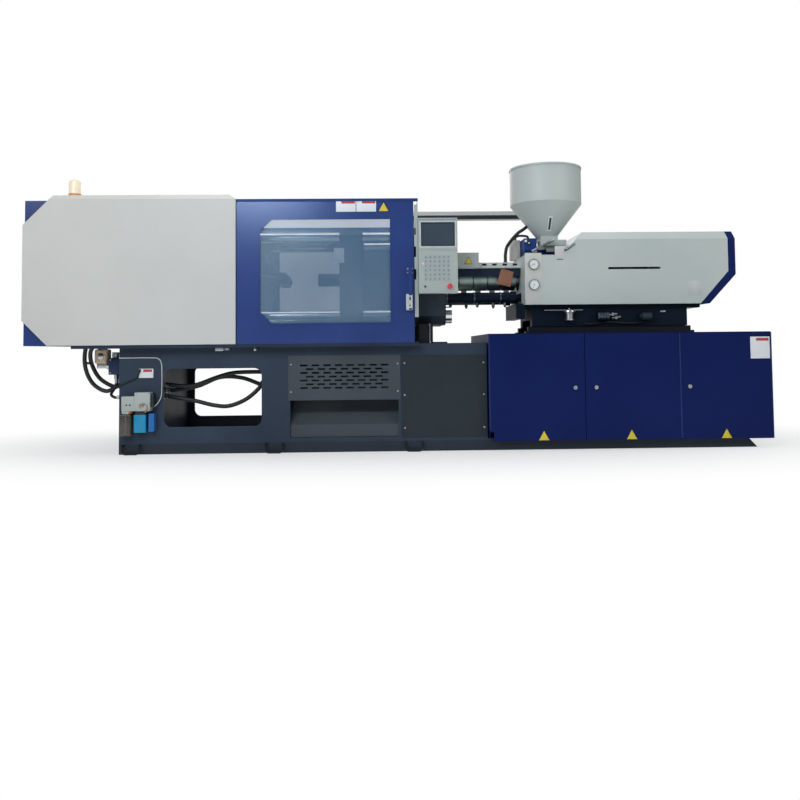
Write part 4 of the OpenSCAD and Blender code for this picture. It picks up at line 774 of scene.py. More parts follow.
def makeControlPanel(s):
    (x0, x1), (z0, z1) = s["screen"]
    face = s["face"]

    def frameLine(d):
        return [(x0 - d, z0 - d), (x1 + d, z0 - d), (x1 + d, z1 + d), (x0 - d, z1 + d)]
    addShapes("screenBezel", "machine", "blackPlastic", [
        (ringPrism, frameLine(0.0), frameLine(-0.007), face + 0.0018, face - 0.0008)])
    addShapes("screenFrame", "machine", "latchGrey", [
        (ringPrism, frameLine(0.011), frameLine(0.001), face + 0.0005, face - 0.0022)])
    addShapes("panelSeam", "machine", "keyRubber", [
        (block, (0.128, face - 0.003, 1.4215), (0.394, face, 1.4245), 0.001),
        (block, (0.122, face - 0.006, 1.640), (0.400, face + 0.001, 1.652), 0.002)])
    (kx, kz), px, pz = s["keys"]
    grow("keyCaps", "machine", keyGroup, "keyRubber",
         {"Middle": (kx + 2.5 * px, face - 0.0015, kz + 2.5 * pz), "Pitch X": px, "Pitch Z": pz})
    grow("keyMarks", "machine", keyGroup, "keyInk",
         {"Middle": (kx + 2.5 * px, face - 0.0026, kz + 2.5 * pz), "Pitch X": px, "Pitch Z": pz,
          "Key Size": 0.0085, "Corner": 0.004, "Rise": 0.0003})
    addShapes("panelLamp", "machine", "ledRed", [
        (turned, [(0, 0), (0.0045, 0), (0.0045, 0.002), (0.003, 0.0034), (0, 0.0038)],
         (s["lamp"][0] - 0.012, face, s["lamp"][1]), (0, -1, 0), 16)])
    addShapes("keyLockRing", "machine", "zinc", [
        (turned, [(0.0062, 0), (0.0095, 0), (0.0095, 0.004), (0.0082, 0.0056), (0.0062, 0.0056),
                  (0.0062, 0)], (s["lock"][0], face, s["lock"][1]), (0, -1, 0), 24)])
    addShapes("keyLock", "machine", "blackPlastic", [
        (turned, [(0, 0), (0.0064, 0), (0.0064, 0.004), (0, 0.0045)], (s["lock"][0], face, s["lock"][1]),
         (0, -1, 0), 20),
        (block, (s["lock"][0] - 0.0012, face - 0.0085, s["lock"][1] - 0.005),
         (s["lock"][0] + 0.0012, face - 0.003, s["lock"][1] + 0.005), 0.0005)])
    addShapes("stopCollar", "machine", "latchGrey", [
        (turned, [(0.0125, 0), (0.026, 0), (0.026, 0.0015), (0.024, 0.003), (0.0125, 0.003), (0.0125, 0)],
         (s["stop"][0], face, s["stop"][1]), (0, -1, 0), 32)])
    addShapes("stopHead", "stop_button", "redPlastic", [
        (turned, [(0, 0.0), (0.0200, 0.0), (0.0200, 0.0075), (0.0185, 0.0115), (0.013, 0.0136),
                  (0, 0.0142)], (s["stop"][0], -0.610, s["stop"][1]), (0, -1, 0), 36),
        (turned, [(0, 0), (0.0118, 0), (0.0118, 0.0226), (0, 0.0226)],
         (s["stop"][0], -0.588, s["stop"][1]), (0, -1, 0), 24)], ["stop_button"])


makeControlPanel(controlPanel)

cableDuct = {"x": (0.095, 1.030), "front": 0.400, "dark": (1.8005, 1.8325)}


def makeDuct(s):
    # the duct's lower half is a darker clipped-on cover
    addShapes("ductLowerCover", "machine", "sheetDark", [
        (block, (s["x"][0], s["front"] - 0.0015, s["dark"][0]),
         (s["x"][1], s["front"] + 0.0005, s["dark"][1]), 0.0006)])


makeDuct(cableDuct)

panelScrews = {
    "grille": [(x, z) for x in (-0.790, -0.031) for z in (0.427, 0.622)],
    "side": [(x, z) for x in (0.018, 0.584) for z in (0.165, 0.398, 0.625)],
    "headRadius": 0.0068,
}


def makePanelScrews(s):
    for name, spots in (("grilleScrews", s["grille"]), ("sidePanelScrews", s["side"])):
        addScrews(name, "machine", s["headRadius"], 0.005, 0.0028, [(x, -0.503, z) for x, z in spots])


makePanelScrews(panelScrews)

cabinetTrim = {
    "face": -0.560,
    "triangles": (("cabinet_door_1", 1.000), ("cabinet_door_2", 1.6255), ("cabinet_door_3", 2.3055)),
    "locks": (("cabinet_door_1", 1.228), ("cabinet_door_2", 1.378), ("cabinet_door_3", 2.048)),
    "lockHeight": 0.440,
    "hinges": (("cabinet_door_1", 0.619, 0.142, 0.680), ("cabinet_door_2", 1.985, 0.075, 0.745),
               ("cabinet_door_3", 2.6435, 0.075, 0.745)),
}


def makeCabinetTrim(s):
    face = s["face"]
    for body, middle in s["triangles"]:
        triangle("triangle_" + body, body, middle, 0.067, 0.088, face)
    plate("cabinetPlate", "cabinet_door_3", 2.494, 2.634, 0.634, 0.790, face, 0.30, 0.97, 0.13)
    for body, x in s["locks"]:
        addShapes("lockRing_" + body, body, "zinc", [
            (turned, [(0, 0), (0.0152, 0), (0.0152, 0.0035), (0.0135, 0.006), (0.0085, 0.006),
                      (0.0075, 0.004), (0, 0.004)], (x, face - 0.006, s["lockHeight"]), (0, -1, 0), 28)])
        addShapes("lockSlot_" + body, body, "blackPlastic", [
            (block, (x - 0.0012, face - 0.0106, s["lockHeight"] - 0.005),
             (x + 0.0012, face - 0.0095, s["lockHeight"] + 0.005), 0.0003)])
    for body, x, foot, length in s["hinges"]:
        grow("hinge_" + body, body, knuckleGroup, "hingePaint",
             {"Count": 18, "Length": length, "Foot": (x, face - 0.0006, foot + length / 36)})


makeCabinetTrim(cabinetTrim)
print("cabinet and panels dressed")

bedTrim = {"face": -0.500, "plate": (-1.863, -1.762, 0.538, 0.603)}


def makeBedTrim(s):
    plate("bedPlate", "machine", *s["plate"], s["face"], 0.3, 0.95, 0.3)
    addShapes("railBracket", "machine", "latchGrey", [
        (block, (-1.315, -0.562, 0.7235), (-1.259, -0.500, 0.7465), 0.002),
        (block, (-1.250, -0.555, 0.728), (-1.222, -0.500, 0.7455), 0.002)])
    addShapes("railBracketSmall", "machine", "zinc", [
        (block, (-1.045, -0.556, 0.722), (-1.028, -0.500, 0.7455), 0.002)])
    addShapes("sensorCable", "machine", "blackHose", [
        (pipe, [(-2.003, -0.440, 0.470), (-2.012, -0.500, 0.474), (-1.975, -0.511, 0.496),
                (-1.925, -0.5065, 0.517), (-1.885, -0.5065, 0.533), (-1.866, -0.5065, 0.560),
                (-1.855, -0.5065, 0.588)], 0.0048),
        (rod, (-1.855, -0.5065, 0.585), (-1.8547, -0.5065, 0.600), 0.007)])
    addShapes("railStop", "machine", "hardChrome", [
        (rod, (0.205, -0.452, 0.765), (0.205, -0.452, 0.905), 0.006),
        (rod, (0.205, -0.452, 0.765), (0.205, -0.452, 0.776), 0.013)])


makeBedTrim(bedTrim)

lubeUnit = {
    "front": -0.580,
    "back": -0.500,
    "low": ((-1.962, -1.871), (0.309, 0.412)),
    "high": ((-1.872, -1.765), (0.309, 0.439)),
    "bottle": ((-1.981, -1.898), (0.133, 0.2905)),
}


def makeLubeUnit(s):
    front, back = s["front"], s["back"]
    addShapes("lubeHousing", "machine", "paleEnamel", [
        *[(block, (x0, front, z0), (x1, back, z1), 0.004, 3)
          for (x0, x1), (z0, z1) in (s["low"], s["high"])],
        (block, (-1.960, front + 0.006, 0.291), (-1.912, back, 0.311), 0.002)], ["lube_pump"])
    addShapes("lubeSockets", "machine", "blackPlastic", [
        *[(turned, [(0, 0), (0.0062, 0), (0.0062, 0.002), (0.0045, 0.003), (0, 0.0016)],
           (x, front, 0.352), (0, -1, 0), 18) for x in (-1.926, -1.902)],
        (block, (-1.764, -0.560, 0.335), (-1.744, -0.503, 0.430), 0.003)], ["lube_pump"])
    addScrews("lubeScrews", "machine", 0.0034, 0.0024, 0.0016,
              [(x, front, z) for x in (-1.864, -1.773) for z in (0.317, 0.431)], ["lube_pump"])
    addShapes("lubeCollar", "machine", "orangePlastic", [
        (turned, [(0, 0), (0.030, 0), (0.033, 0.004), (0.033, 0.022), (0.028, 0.028), (0, 0.028)],
         (-1.926, -0.540, 0.292), (0, 0, 1), 32)], ["lube_pump"])
    addShapes("lubeLine", "machine", "clearLine", [
        (pipe, [(-1.772, -0.530, 0.330), (-1.737, -0.526, 0.345), (-1.704, -0.514, 0.400),
                (-1.700, -0.508, 0.470), (-1.700, -0.506, 0.560), (-1.704, -0.506, 0.640),
                (-1.727, -0.506, 0.674), (-1.782, -0.506, 0.680), (-1.902, -0.506, 0.680),
                (-2.001, -0.506, 0.680)], 0.0038)], ["lube_pump"])
    addShapes("lubeFittings", "machine", "brass", [
        (rod, (-1.785, -0.532, 0.326), (-1.764, -0.529, 0.332), 0.0085, 0.0015, 6),
        (rod, (-1.800, -0.560, 0.318), (-1.800, -0.560, 0.296), 0.006, 0.001, 6),
        (rod, (-1.815, -0.575, 0.345), (-1.815, -0.586, 0.345), 0.008, 0.0015, 6)], ["lube_pump"])
    addShapes("lubeWires", "machine", "tagCard", [
        (pipe, [(-1.815, -0.584, 0.345), (-1.806, -0.590, 0.362), (-1.788, -0.588, 0.352),
                (-1.778, -0.586, 0.330), (-1.790, -0.584, 0.312), (-1.800, -0.576, 0.308)], 0.0028, 10),
        (pipe, [(-1.826, -0.581, 0.325), (-1.835, -0.586, 0.345), (-1.822, -0.586, 0.360),
                (-1.806, -0.584, 0.352)], 0.0022, 8)], ["lube_pump"])
    (x0, x1), (z0, z1) = s["bottle"]
    addShapes("lubeBottle", "machine", "smokedPlastic", [
        (block, (x0, front + 0.005, z0), (x1, back - 0.005, z1), 0.010, 4)], ["lube_tank"])
    middle = ((x0 + x1) / 2 - 0.002, -0.5425)
    coil = [(middle[0] + (0.020 - 0.007 * k / 84) * math.cos(k * math.pi / 6),
             middle[1] + (0.020 - 0.007 * k / 84) * math.sin(k * math.pi / 6), z1 - 0.016 - 0.0015 * k)
            for k in range(85)]
    addShapes("lubeSpring", "machine", "zinc", [
        (pipe, coil, 0.0026, 8, 2),
        (rod, (*middle, z1 - 0.146), (*middle, z1 - 0.006), 0.005)], ["lube_tank"])
    addShapes("lubeCartridge", "machine", "cyanPlastic", [
        (block, (-1.877, front + 0.008, 0.159), (-1.795, back - 0.012, 0.283), 0.003, 3),
        *[(block, (-1.872, front + 0.0065, 0.180 + 0.032 * k),
           (-1.800, front + 0.010, 0.186 + 0.032 * k), 0.001) for k in range(3)]], ["lube_tank"])
    addShapes("lubeCartridgeNeck", "machine", "blackPlastic", [
        (block, (-1.870, front + 0.014, 0.282), (-1.802, back - 0.014, 0.3095), 0.002)], ["lube_tank"])
    addShapes("lubeDistributor", "machine", "blueAnodised", [
        (block, (-1.777, front + 0.015, 0.165), (-1.739, back, 0.290), 0.003, 3),
        *[(turned, [(0, 0), (0.007, 0), (0.007, 0.003), (0, 0.004)], (-1.758, front + 0.015, z),
           (0, -1, 0), 6) for z in (0.195, 0.228, 0.260)]], ["lube_tank"])


makeLubeUnit(lubeUnit)
print("lubrication unit ready")

hoseSettings = {
    "radius": 0.015,
    "smallRadius": 0.010,
    "bed": -2.001,
    "left": -1.7357,        # where the bed hoses end
    "right": -0.9583,
    "start": -1.736,        # their middle points are counted from here
    "port": 0.5317,         # height of the manifold's lower ports
}


def ferrule(bm, end, toward, radius, length=0.032):
    # crimped collar and union nut where a hose ends; toward points into the hose
    toward = Vector(toward).normalized()
    turned(bm, [(0, 0), (radius * 1.45, 0), (radius * 1.45, 0.010), (radius * 1.15, 0.011),
                (radius * 1.15, 0.016), (radius * 1.3, 0.018), (radius * 1.3, length),
                (radius * 1.05, length + 0.002), (0, length + 0.002)], end, toward, 18)


def makeHoses(s):
    r, left, right, bed, port = s["radius"], s["left"], s["right"], s["bed"], s["port"]
    x = s["start"]
    routes = {
        "bedHoseUpper": (r, [
            (left, -0.300, 0.482), (x + 0.03, -0.300, 0.482), (x + 0.13, -0.302, 0.470),
            (x + 0.24, -0.306, 0.480), (x + 0.38, -0.300, 0.530), (x + 0.50, -0.295, 0.562),
            (x + 0.64, -0.290, 0.568), (right - 0.03, -0.285, 0.566), (right, -0.285, 0.566)]),
        "bedHoseLower": (r, [
            (left, -0.330, 0.400), (x + 0.03, -0.330, 0.400), (x + 0.13, -0.332, 0.382),
            (x + 0.24, -0.336, 0.362), (x + 0.37, -0.338, 0.330), (x + 0.48, -0.338, 0.324),
            (x + 0.60, -0.330, 0.370), (x + 0.69, -0.322, 0.445), (right - 0.06, -0.316, 0.492),
            (right - 0.03, -0.316, 0.492), (right, -0.316, 0.492)]),
        "bedHoseMiddle": (r, [
            (left, -0.262, 0.440), (x + 0.03, -0.262, 0.440), (x + 0.08, -0.262, 0.440),
            (x + 0.24, -0.262, 0.468), (x + 0.40, -0.258, 0.530), (x + 0.56, -0.256, 0.524),
            (right - 0.08, -0.252, 0.474), (right - 0.03, -0.252, 0.470), (right, -0.252, 0.470)]),
        "clampHoseOuter": (r, [
            (bed - 0.060, -0.300, port), (bed - 0.060, -0.300, 0.500), (bed - 0.090, -0.304, 0.465),
            (bed - 0.160, -0.310, 0.440), (bed - 0.250, -0.320, 0.500), (bed - 0.294, -0.345, 0.620),
            (bed - 0.280, -0.370, 0.760), (bed - 0.200, -0.412, 0.840), (bed - 0.100, -0.430, 0.860),
            (bed - 0.030, -0.430, 0.860), (bed + 0.0017, -0.430, 0.860)]),
        "clampHoseInner": (r, [
            (bed - 0.060, -0.230, port), (bed - 0.060, -0.230, 0.500), (bed - 0.084, -0.236, 0.470),
            (bed - 0.140, -0.250, 0.478), (bed - 0.220, -0.272, 0.540), (bed - 0.256, -0.330, 0.650),
            (bed - 0.236, -0.385, 0.745), (bed - 0.150, -0.420, 0.795), (bed - 0.080, -0.430, 0.805),
            (bed - 0.030, -0.430, 0.805), (bed + 0.0017, -0.430, 0.805)]),
        "clampHoseSmall": (s["smallRadius"], [
            (bed - 0.060, -0.370, port), (bed - 0.060, -0.370, 0.505), (bed - 0.072, -0.380, 0.460),
            (bed - 0.084, -0.412, 0.420), (bed - 0.050, -0.440, 0.400), (bed - 0.020, -0.440, 0.400),
            (bed - 0.0003, -0.440, 0.400)]),
    }
    ends = bmesh.new()
    for name, (radius, route) in routes.items():
        addShapes(name, "machine", "blackHose", [(pipe, route, radius, 16, 8)], ["hydraulic_hoses"])
        first, second, before, last = (Vector(route[k]) for k in (0, 1, -2, -1))
        ferrule(ends, first, second - first, radius)
        ferrule(ends, last, before - last, radius)
    addPiece("hoseFerrules", "machine", "zinc", ends, ["hydraulic_hoses"])
    addShapes("hoseTies", "machine", "blackPlastic", [
        (turned, [(0.018, 0), (0.0205, 0.001), (0.0205, 0.008), (0.018, 0.009), (0.018, 0)], spot, way, 20)
        for spot, way in (((bed - 0.276, -0.345, 0.640), (0.15, -0.2, 1)),
                          ((bed - 0.150, -0.422, 0.826), (1, 0, 0.2)))], ["hydraulic_hoses"])


makeHoses(hoseSettings)

manifold = {"bed": -2.001, "plugs": (-0.370, -0.300, -0.230)}


def makeManifold(s):
    bed = s["bed"]
    addShapes("valveBlock", "machine", "manifoldPaint", [
        (block, (bed - 0.110, -0.400, 0.560), (bed, -0.180, 0.680), 0.004, 3),
        (block, (bed + 0.002, -0.470, 0.765), (bed + 0.090, -0.390, 0.905), 0.004, 3)],
        ["clamp_manifold"])
    # the coil carries the paler tan of painted light
    addShapes("solenoidCoil", "machine", "tanCoilPaintedLight", [
        (block, (bed - 0.232, -0.340, 0.640), (bed - 0.138, -0.240, 0.743), 0.012, 4)],
        ["clamp_manifold"])
    bm = bmesh.new()
    for y in s["plugs"]:
        rod(bm, (bed - 0.130, y, 0.620), (bed - 0.109, y, 0.620), 0.024, 0.003, 6)
        rod(bm, (bed - 0.060, y, 0.532), (bed - 0.060, y, 0.562), 0.020, 0.002, 6)
    block(bm, (bed - 0.226, -0.300, 0.604), (bed - 0.108, -0.290, 0.641), 0.001)
    turned(bm, [(0, 0), (0.022, 0), (0.022, 0.006), (0.012, 0.010), (0, 0.010)],
           (bed - 0.185, -0.339, 0.692), (0, -1, 0), 24)
    addPiece("valveFittings", "machine", "zinc", bm, ["clamp_manifold"])
    addShapes("valvePlugs", "machine", "latchGrey", [
        *[(block, (x, -0.385, 0.679), (x + 0.036, -0.330, 0.722), 0.004, 3)
          for x in (bed - 0.090, bed - 0.042)],
        (block, (bed - 0.215, -0.322, 0.742), (bed - 0.160, -0.262, 0.770), 0.004, 3)],
        ["clamp_manifold"])
    addScrews("valveScrews", "machine", 0.006, 0.006, 0.003,
              [(x, -0.400, z) for x in (bed - 0.095, bed - 0.016) for z in (0.574, 0.666)],
              ["clamp_manifold"])


makeManifold(manifold)
print("hydraulics ready")

dialSettings = {"middles": ((0.990, 1.343), (0.990, 1.192)), "face": -0.330, "radius": 0.040,
                "needle": (205, 250)}


def makeDials(s):
    for k, (x, z) in enumerate(s["middles"]):
        r = s["radius"]
        addShapes("dialCase%d" % k, "carriage", "bandSteel", [
            (turned, [(r * 0.86, 0.010), (r * 0.86, 0.0205), (r * 0.90, 0.022), (r * 0.97, 0.022),
                      (r, 0.019), (r, 0), (0, 0), (0, 0.010), (r * 0.86, 0.010)], (x, s["face"], z),
             (0, -1, 0), 48)], ["pressure_dials"])
        addShapes("dialCard%d" % k, "carriage", "dialWhite", [
            (turned, [(0, 0.009), (r * 0.87, 0.009), (r * 0.87, 0.0165), (0, 0.0165)], (x, s["face"], z),
             (0, -1, 0), 48)], ["pressure_dials"])
        grow("dialTicks%d" % k, "carriage", tickGroup, "dialMark",
             {"Middle": (x, s["face"] - 0.0167, z), "Count": 25}, replaced=["pressure_dials"])
        turn = math.radians(s["needle"][k])
        tip = Vector((x + 0.026 * math.cos(turn), s["face"] - 0.0185, z + 0.026 * math.sin(turn)))
        tail = Vector((x - 0.008 * math.cos(turn), s["face"] - 0.0185, z - 0.008 * math.sin(turn)))
        addShapes("dialNeedle%d" % k, "carriage", "dialMark", [
            (rod, tail, tip, 0.0008, 0.0002, 8),
            (turned, [(0, 0), (0.0035, 0), (0.003, 0.004), (0, 0.0045)], (x, s["face"] - 0.0163, z),
             (0, -1, 0), 16)], ["pressure_dials"])


makeDials(dialSettings)

coverTrim = {"face": -0.330, "strip": ((0.9255, 1.050), (1.0455, 1.429)),
             "label": ((2.143, 2.237), (1.107, 1.213))}


def makeCoverTrim(s):
    face = s["face"]
    (x0, x1), (z0, z1) = s["strip"]
    addShapes("dialPanel", "carriage", "lightEnamel", [
        (block, (x0, face - 0.0012, z0), (x1, face + 0.0005, z1), 0.0006)])
    (x0, x1), (z0, z1) = s["label"]
    addShapes("coverPlate", "carriage", "latchGrey", [
        (block, (x0, face - 0.001, z0), (x1, face + 0.0003, z1), 0.0004)])
    addShapes("coverTab", "carriage", "lightEnamel", [
        (block, (1.150, face - 0.0035, 1.384), (1.223, face + 0.0005, 1.476), 0.0015)])
    addShapes("tabSlit", "carriage", "blackPlastic", [
        (block, (1.166, face - 0.0012, 1.3775), (1.210, face + 0.0005, 1.3815), 0.0005)])


makeCoverTrim(coverTrim)

feedTrim = {"front": -0.100, "chute": ((1.020, 1.459), (1.182, 1.545)),
            "lever": ((1.223, 1.446), (1.300, 1.496))}


def makeFeedTrim(s):
    (x0, z0), (x1, z1) = s["chute"]
    run = Vector((x1 - x0, 0, z1 - z0)).normalized()
    up = Vector((-run.z, 0, run.x))
    bm = bmesh.new()
    for y0, y1, rise in ((-0.190, -0.134, 0.003), (-0.190, -0.187, 0.014), (-0.137, -0.134, 0.014)):
        corners = [Vector((x0, 0, z0)) - up * 0.003, Vector((x1, 0, z1)) - up * 0.003,
                   Vector((x1, 0, z1)) + up * rise, Vector((x0, 0, z0)) + up * rise]
        prism(bm, [(c.x, c.z) for c in corners], y0, y1, 0.0008)
    block(bm, (x0 + 0.002, -0.140, z0 - 0.004), (x0 + 0.034, -0.0995, z0 + 0.010), 0.001)
    addPiece("feedChute", "carriage", "zinc", bm)
    (x0, z0), (x1, z1) = s["lever"]
    addShapes("gateLever", "carriage", "blackPlastic", [
        (rod, (x0, -0.337, z0), (x1, -0.337, z1), 0.0075, 0.002, 14),
        (rod, (x0 + 0.045, -0.337, z0 + 0.029), (x0 + 0.045, -0.300, z0 + 0.029), 0.005, 0.001, 14)])
    addShapes("gateLeverRod", "carriage", "zinc", [
        (rod, (x0 + 0.004, -0.346, z0 + 0.006), (x1 - 0.004, -0.346, z1 - 0.002), 0.003, 0.001, 10)])
    addShapes("feedKnob", "carriage", "blackPlastic", [
        (turned, [(0.006, 0), (0.019, 0), (0.019, 0.008), (0.016, 0.014), (0.008, 0.016), (0.006, 0.012),
                  (0.006, 0)], (0.999, s["front"], 1.532), (0, -1, 0), 26)])
    addShapes("feedKnobCap", "carriage", "plateWhite", [
        (turned, [(0, 0), (0.0065, 0), (0.0065, 0.013), (0, 0.0145)], (0.999, s["front"], 1.532),
         (0, -1, 0), 20),
        (turned, [(0, 0), (0.010, 0), (0.009, 0.012), (0, 0.013)], (0.976, s["front"], 1.548), (0, -1, 0),
         20)])


makeFeedTrim(feedTrim)

hopperTrim = {
    "axis": 1.155,
    "neck": 0.068,              # the cone's radius at its foot and at its top
    "rim": 0.276,
    "cone": (1.570, 1.838),     # heights of foot and top
    "slot": (1.633, 1.716),
    "frame": (0.0155, 0.009),   # half width, and how far it stands past the slot
    "pane": 0.0088,
    "glass": 0.0086,
}


def makeHopperTrim(s):
    # pale sight frame that follows the cone's slope, and a glass strip in it
    slope = (s["rim"] - s["neck"]) / (s["cone"][1] - s["cone"][0])

    def onCone(x, z, lift):
        radius = s["neck"] + (z - s["cone"][0]) * slope
        return Vector((s["axis"] + x, -math.sqrt(radius * radius - x * x) - lift, z - lift * slope * 0.55))

    z0, z1 = s["slot"]

    def opening(half, more, lift):
        return [onCone(x, h, lift) for x, h in ((-half, z0 - more), (half, z0 - more), (half, z1 + more),
                                                (-half, z1 + more))]
    (frameHalf, frameMore), paneHalf, glassHalf = s["frame"], s["pane"], s["glass"]
    bm = bmesh.new()
    skin(bm, [opening(half, more, lift) for lift in (-0.001, 0.003)
              for half, more in ((frameHalf, frameMore), (paneHalf, 0.0))], frameSides)
    addPiece("sightFrame", "carriage", "plateWhite", bm)
    bm = bmesh.new()
    for cap in skin(bm, [opening(glassHalf, 0.0, lift) for lift in (-0.003, -0.0005)], ((0, 1),)):
        bm.faces.new(cap)
    addPiece("sightGlass", "carriage", "screenGlass", bm)


makeHopperTrim(hopperTrim)

conduitSettings = {"guardTop": 1.377, "boxTop": 1.577, "boxFoot": 1.415, "blockTop": 1.5703}


def makeConduits(s):
    foot, top = s["guardTop"], s["boxTop"]
    route = [(0.832, 0, foot), (0.832, 0, foot + 0.03), (0.835, 0, foot + 0.095), (0.854, 0, foot + 0.154),
             (0.926, 0, foot + 0.240), (0.9739, 0, 1.6505), (1.00526, 0, 1.67482)]
    path = smoothPath(route, 12)
    grow("ribbedConduit", "carriage", ribbedGroup, "blackHose", {"Radius": 0.0128, "Rib": 0.0011},
         path, [(k, k + 1) for k in range(len(path) - 1)], ["conduits"])
    short = smoothPath([(0.924, 0.095, top), (0.924, 0.095, top + 0.015), (0.946, 0.070, top + 0.034),
                        (1.014, 0.040, 1.602), (1.014, 0.040, s["blockTop"])], 12)
    grow("ribbedConduitShort", "carriage", ribbedGroup, "blackHose", {"Radius": 0.0092, "Rib": 0.0008},
         short, [(k, k + 1) for k in range(len(short) - 1)], ["conduits"])
    addShapes("conduitGlands", "carriage", "blackPlastic", [
        (rod, (0.832, 0, foot), (0.832, 0, foot + 0.022), 0.0175, 0.002, 6),
        (rod, (0.924, 0.095, top), (0.924, 0.095, top + 0.014), 0.014, 0.002, 6)], ["conduits"])
    addShapes("junctionBox", "carriage", "creamPlastic", [
        (block, (0.884, 0.060, s["boxFoot"]), (0.962, 0.130, top), 0.004, 3),
        (block, (0.887, 0.0575, s["boxFoot"] + 0.004), (0.959, 0.062, top - 0.004), 0.002)], ["conduits"])
    addScrews("junctionScrews", "carriage", 0.003, 0.002, 0.0014,
              [(x, 0.0575, z) for x in (0.893, 0.953) for z in (1.426, 1.566)], ["conduits"])


makeConduits(conduitSettings)
print("injection unit dressed")

barrelTrim = {
    "tag": ((0.778, 1.336), (0.871, 1.305), (0.844, 1.190), (0.741, 1.218)),
    "tagDepth": -0.1465,
    "fittings": (0.385, 0.505, 0.590, 0.712, 0.802),
    "cylinder": (-0.135, 1.110),
}


def makeBarrelTrim(s):
    y = s["tagDepth"]
    addShapes("cardTag", "carriage", "tagCard", [(prism, list(s["tag"]), y - 0.0012, y, 0.0003)])
    addShapes("tagString", "carriage", "plateDark", [
        (pipe, [(0.806, -0.1662, 1.357), (0.807, -0.1672, 1.347), (0.810, -0.160, 1.338),
                (0.812, -0.1485, 1.322), (0.8125, -0.1463, 1.318)], 0.0011, 8)])
    bm = bmesh.new()
    centreY, centreZ = s["cylinder"]
    for k, x in enumerate(s["fittings"]):
        low = 0.030 if k % 2 else 0.022
        rod(bm, (x, centreY, centreZ - 0.037), (x, centreY, centreZ - 0.043 - low), 0.012, 0.002, 6)
        rod(bm, (x, centreY, centreZ - 0.043 - low), (x + 0.001, centreY, centreZ - 0.052 - low), 0.008,
            0.001, 16)
    addPiece("cylinderFittings", "machine", "linkSteel", bm)
    addShapes("cylinderClamps", "machine", "linkSteel", [
        (turned, [(0.0402, 0), (0.0435, 0.001), (0.0435, 0.011), (0.0402, 0.012), (0.0402, 0)],
         (x, centreY, centreZ), (1, 0, 0), 40) for x in (0.352, 0.560, 0.760)])
    triangle("purgeTriangle", "purge_guard", 0.513, 1.357, 0.062, -0.260)
    plate("platenPlate", "moving_platen", -0.487, -0.413, 1.361, 1.471, -0.360, bandHigh=0)


makeBarrelTrim(barrelTrim)

carriageTrim = {"face": -0.2552}


def makeCarriageTrim(s):
    y = s["face"] - 0.038
    addShapes("swivelMotor", "carriage", "zinc", [
        (turned, [(0, 0), (0.034, 0), (0.036, 0.003), (0.036, 0.012), (0.029, 0.014), (0.029, 0.050),
                  (0.036, 0.052), (0.036, 0.066), (0.030, 0.070), (0, 0.070)], (1.258, y, 0.924),
         (0, 0, 1), 36),
        (turned, [(0, 0), (0.046, 0), (0.048, 0.003), (0.046, 0.014), (0, 0.014)], (1.258, y, 0.986),
         (0, 0, 1), 36)])
    addShapes("carriageRod", "carriage", "zinc", [
        (rod, (1.070, y - 0.004, 1.004), (1.360, y - 0.004, 1.004), 0.0045, 0.001, 14),
        (rod, (1.084, y - 0.004, 1.004), (1.084, s["face"] + 0.004, 1.004), 0.005, 0.001, 14),
        (rod, (1.346, y - 0.004, 1.004), (1.346, s["face"] + 0.004, 1.004), 0.005, 0.001, 14),
        (rod, (1.258, y, 0.999), (1.258, y, 1.018), 0.009, 0.001, 6)])
    profile = [(0, 0), (0.036, 0)]
    for k in range(4):
        profile += [(0.038, 0.002 + 0.021 * k), (0.038, 0.012 + 0.021 * k), (0.033, 0.014 + 0.021 * k),
                    (0.033, 0.020 + 0.021 * k)]
    profile += [(0.034, 0.086), (0, 0.086)]
    addShapes("ringedCylinder", "carriage", "linkSteel", [
        (turned, profile, (1.466, y - 0.001, 0.955), (1, 0, 0), 36)])
    bm = bmesh.new()
    for x, z, lean in ((1.585, 0.965, 0.010), (1.612, 0.940, 0.012)):
        rod(bm, (x - 0.034, y + 0.008, z), (x + 0.034, y + 0.008, z + lean), 0.008, 0.0015, 16)
        block(bm, (x - 0.008, y + 0.004, z - 0.006), (x + 0.008, s["face"] + 0.003, z + 0.016), 0.001)
    block(bm, (1.955, s["face"] - 0.006, 0.984), (1.995, s["face"] + 0.001, 0.997), 0.003, 3)
    addPiece("carriageFittings", "carriage", "zinc", bm)
    addShapes("slideCylinder", "carriage", "ironPaint", [
        (rod, (1.800, y, 0.952), (1.875, y, 0.952), 0.032, 0.004, 32),
        (rod, (1.786, y, 0.952), (1.801, y, 0.952), 0.018, 0.002, 24),
        (block, (1.822, y, 0.935), (1.852, s["face"] + 0.003, 0.970), 0.001),
        (block, (1.490, y, 0.935), (1.530, s["face"] + 0.003, 0.970), 0.001),
        (block, (1.238, y, 0.935), (1.278, s["face"] + 0.003, 0.960), 0.001)])
    addShapes("carriageHose", "carriage", "blackHose", [
        (pipe, [(1.372, s["face"] - 0.012, 0.905), (1.420, s["face"] - 0.018, 0.900),
                (1.560, s["face"] - 0.016, 0.912), (1.720, s["face"] - 0.018, 0.903),
                (1.845, s["face"] - 0.014, 0.915), (1.846, s["face"] - 0.020, 0.930)], 0.007)])


makeCarriageTrim(carriageTrim)

beaconSettings = {
    "foot": (-2.324, -0.500, 1.833),
    "radius": 0.046,
    "height": 0.118,
    "base": 0.020,          # height of the base ring
    "ribs": 96,             # points round the lens, two for each rib and two for each groove
    "ribDepth": 0.018,      # share of the radius
}


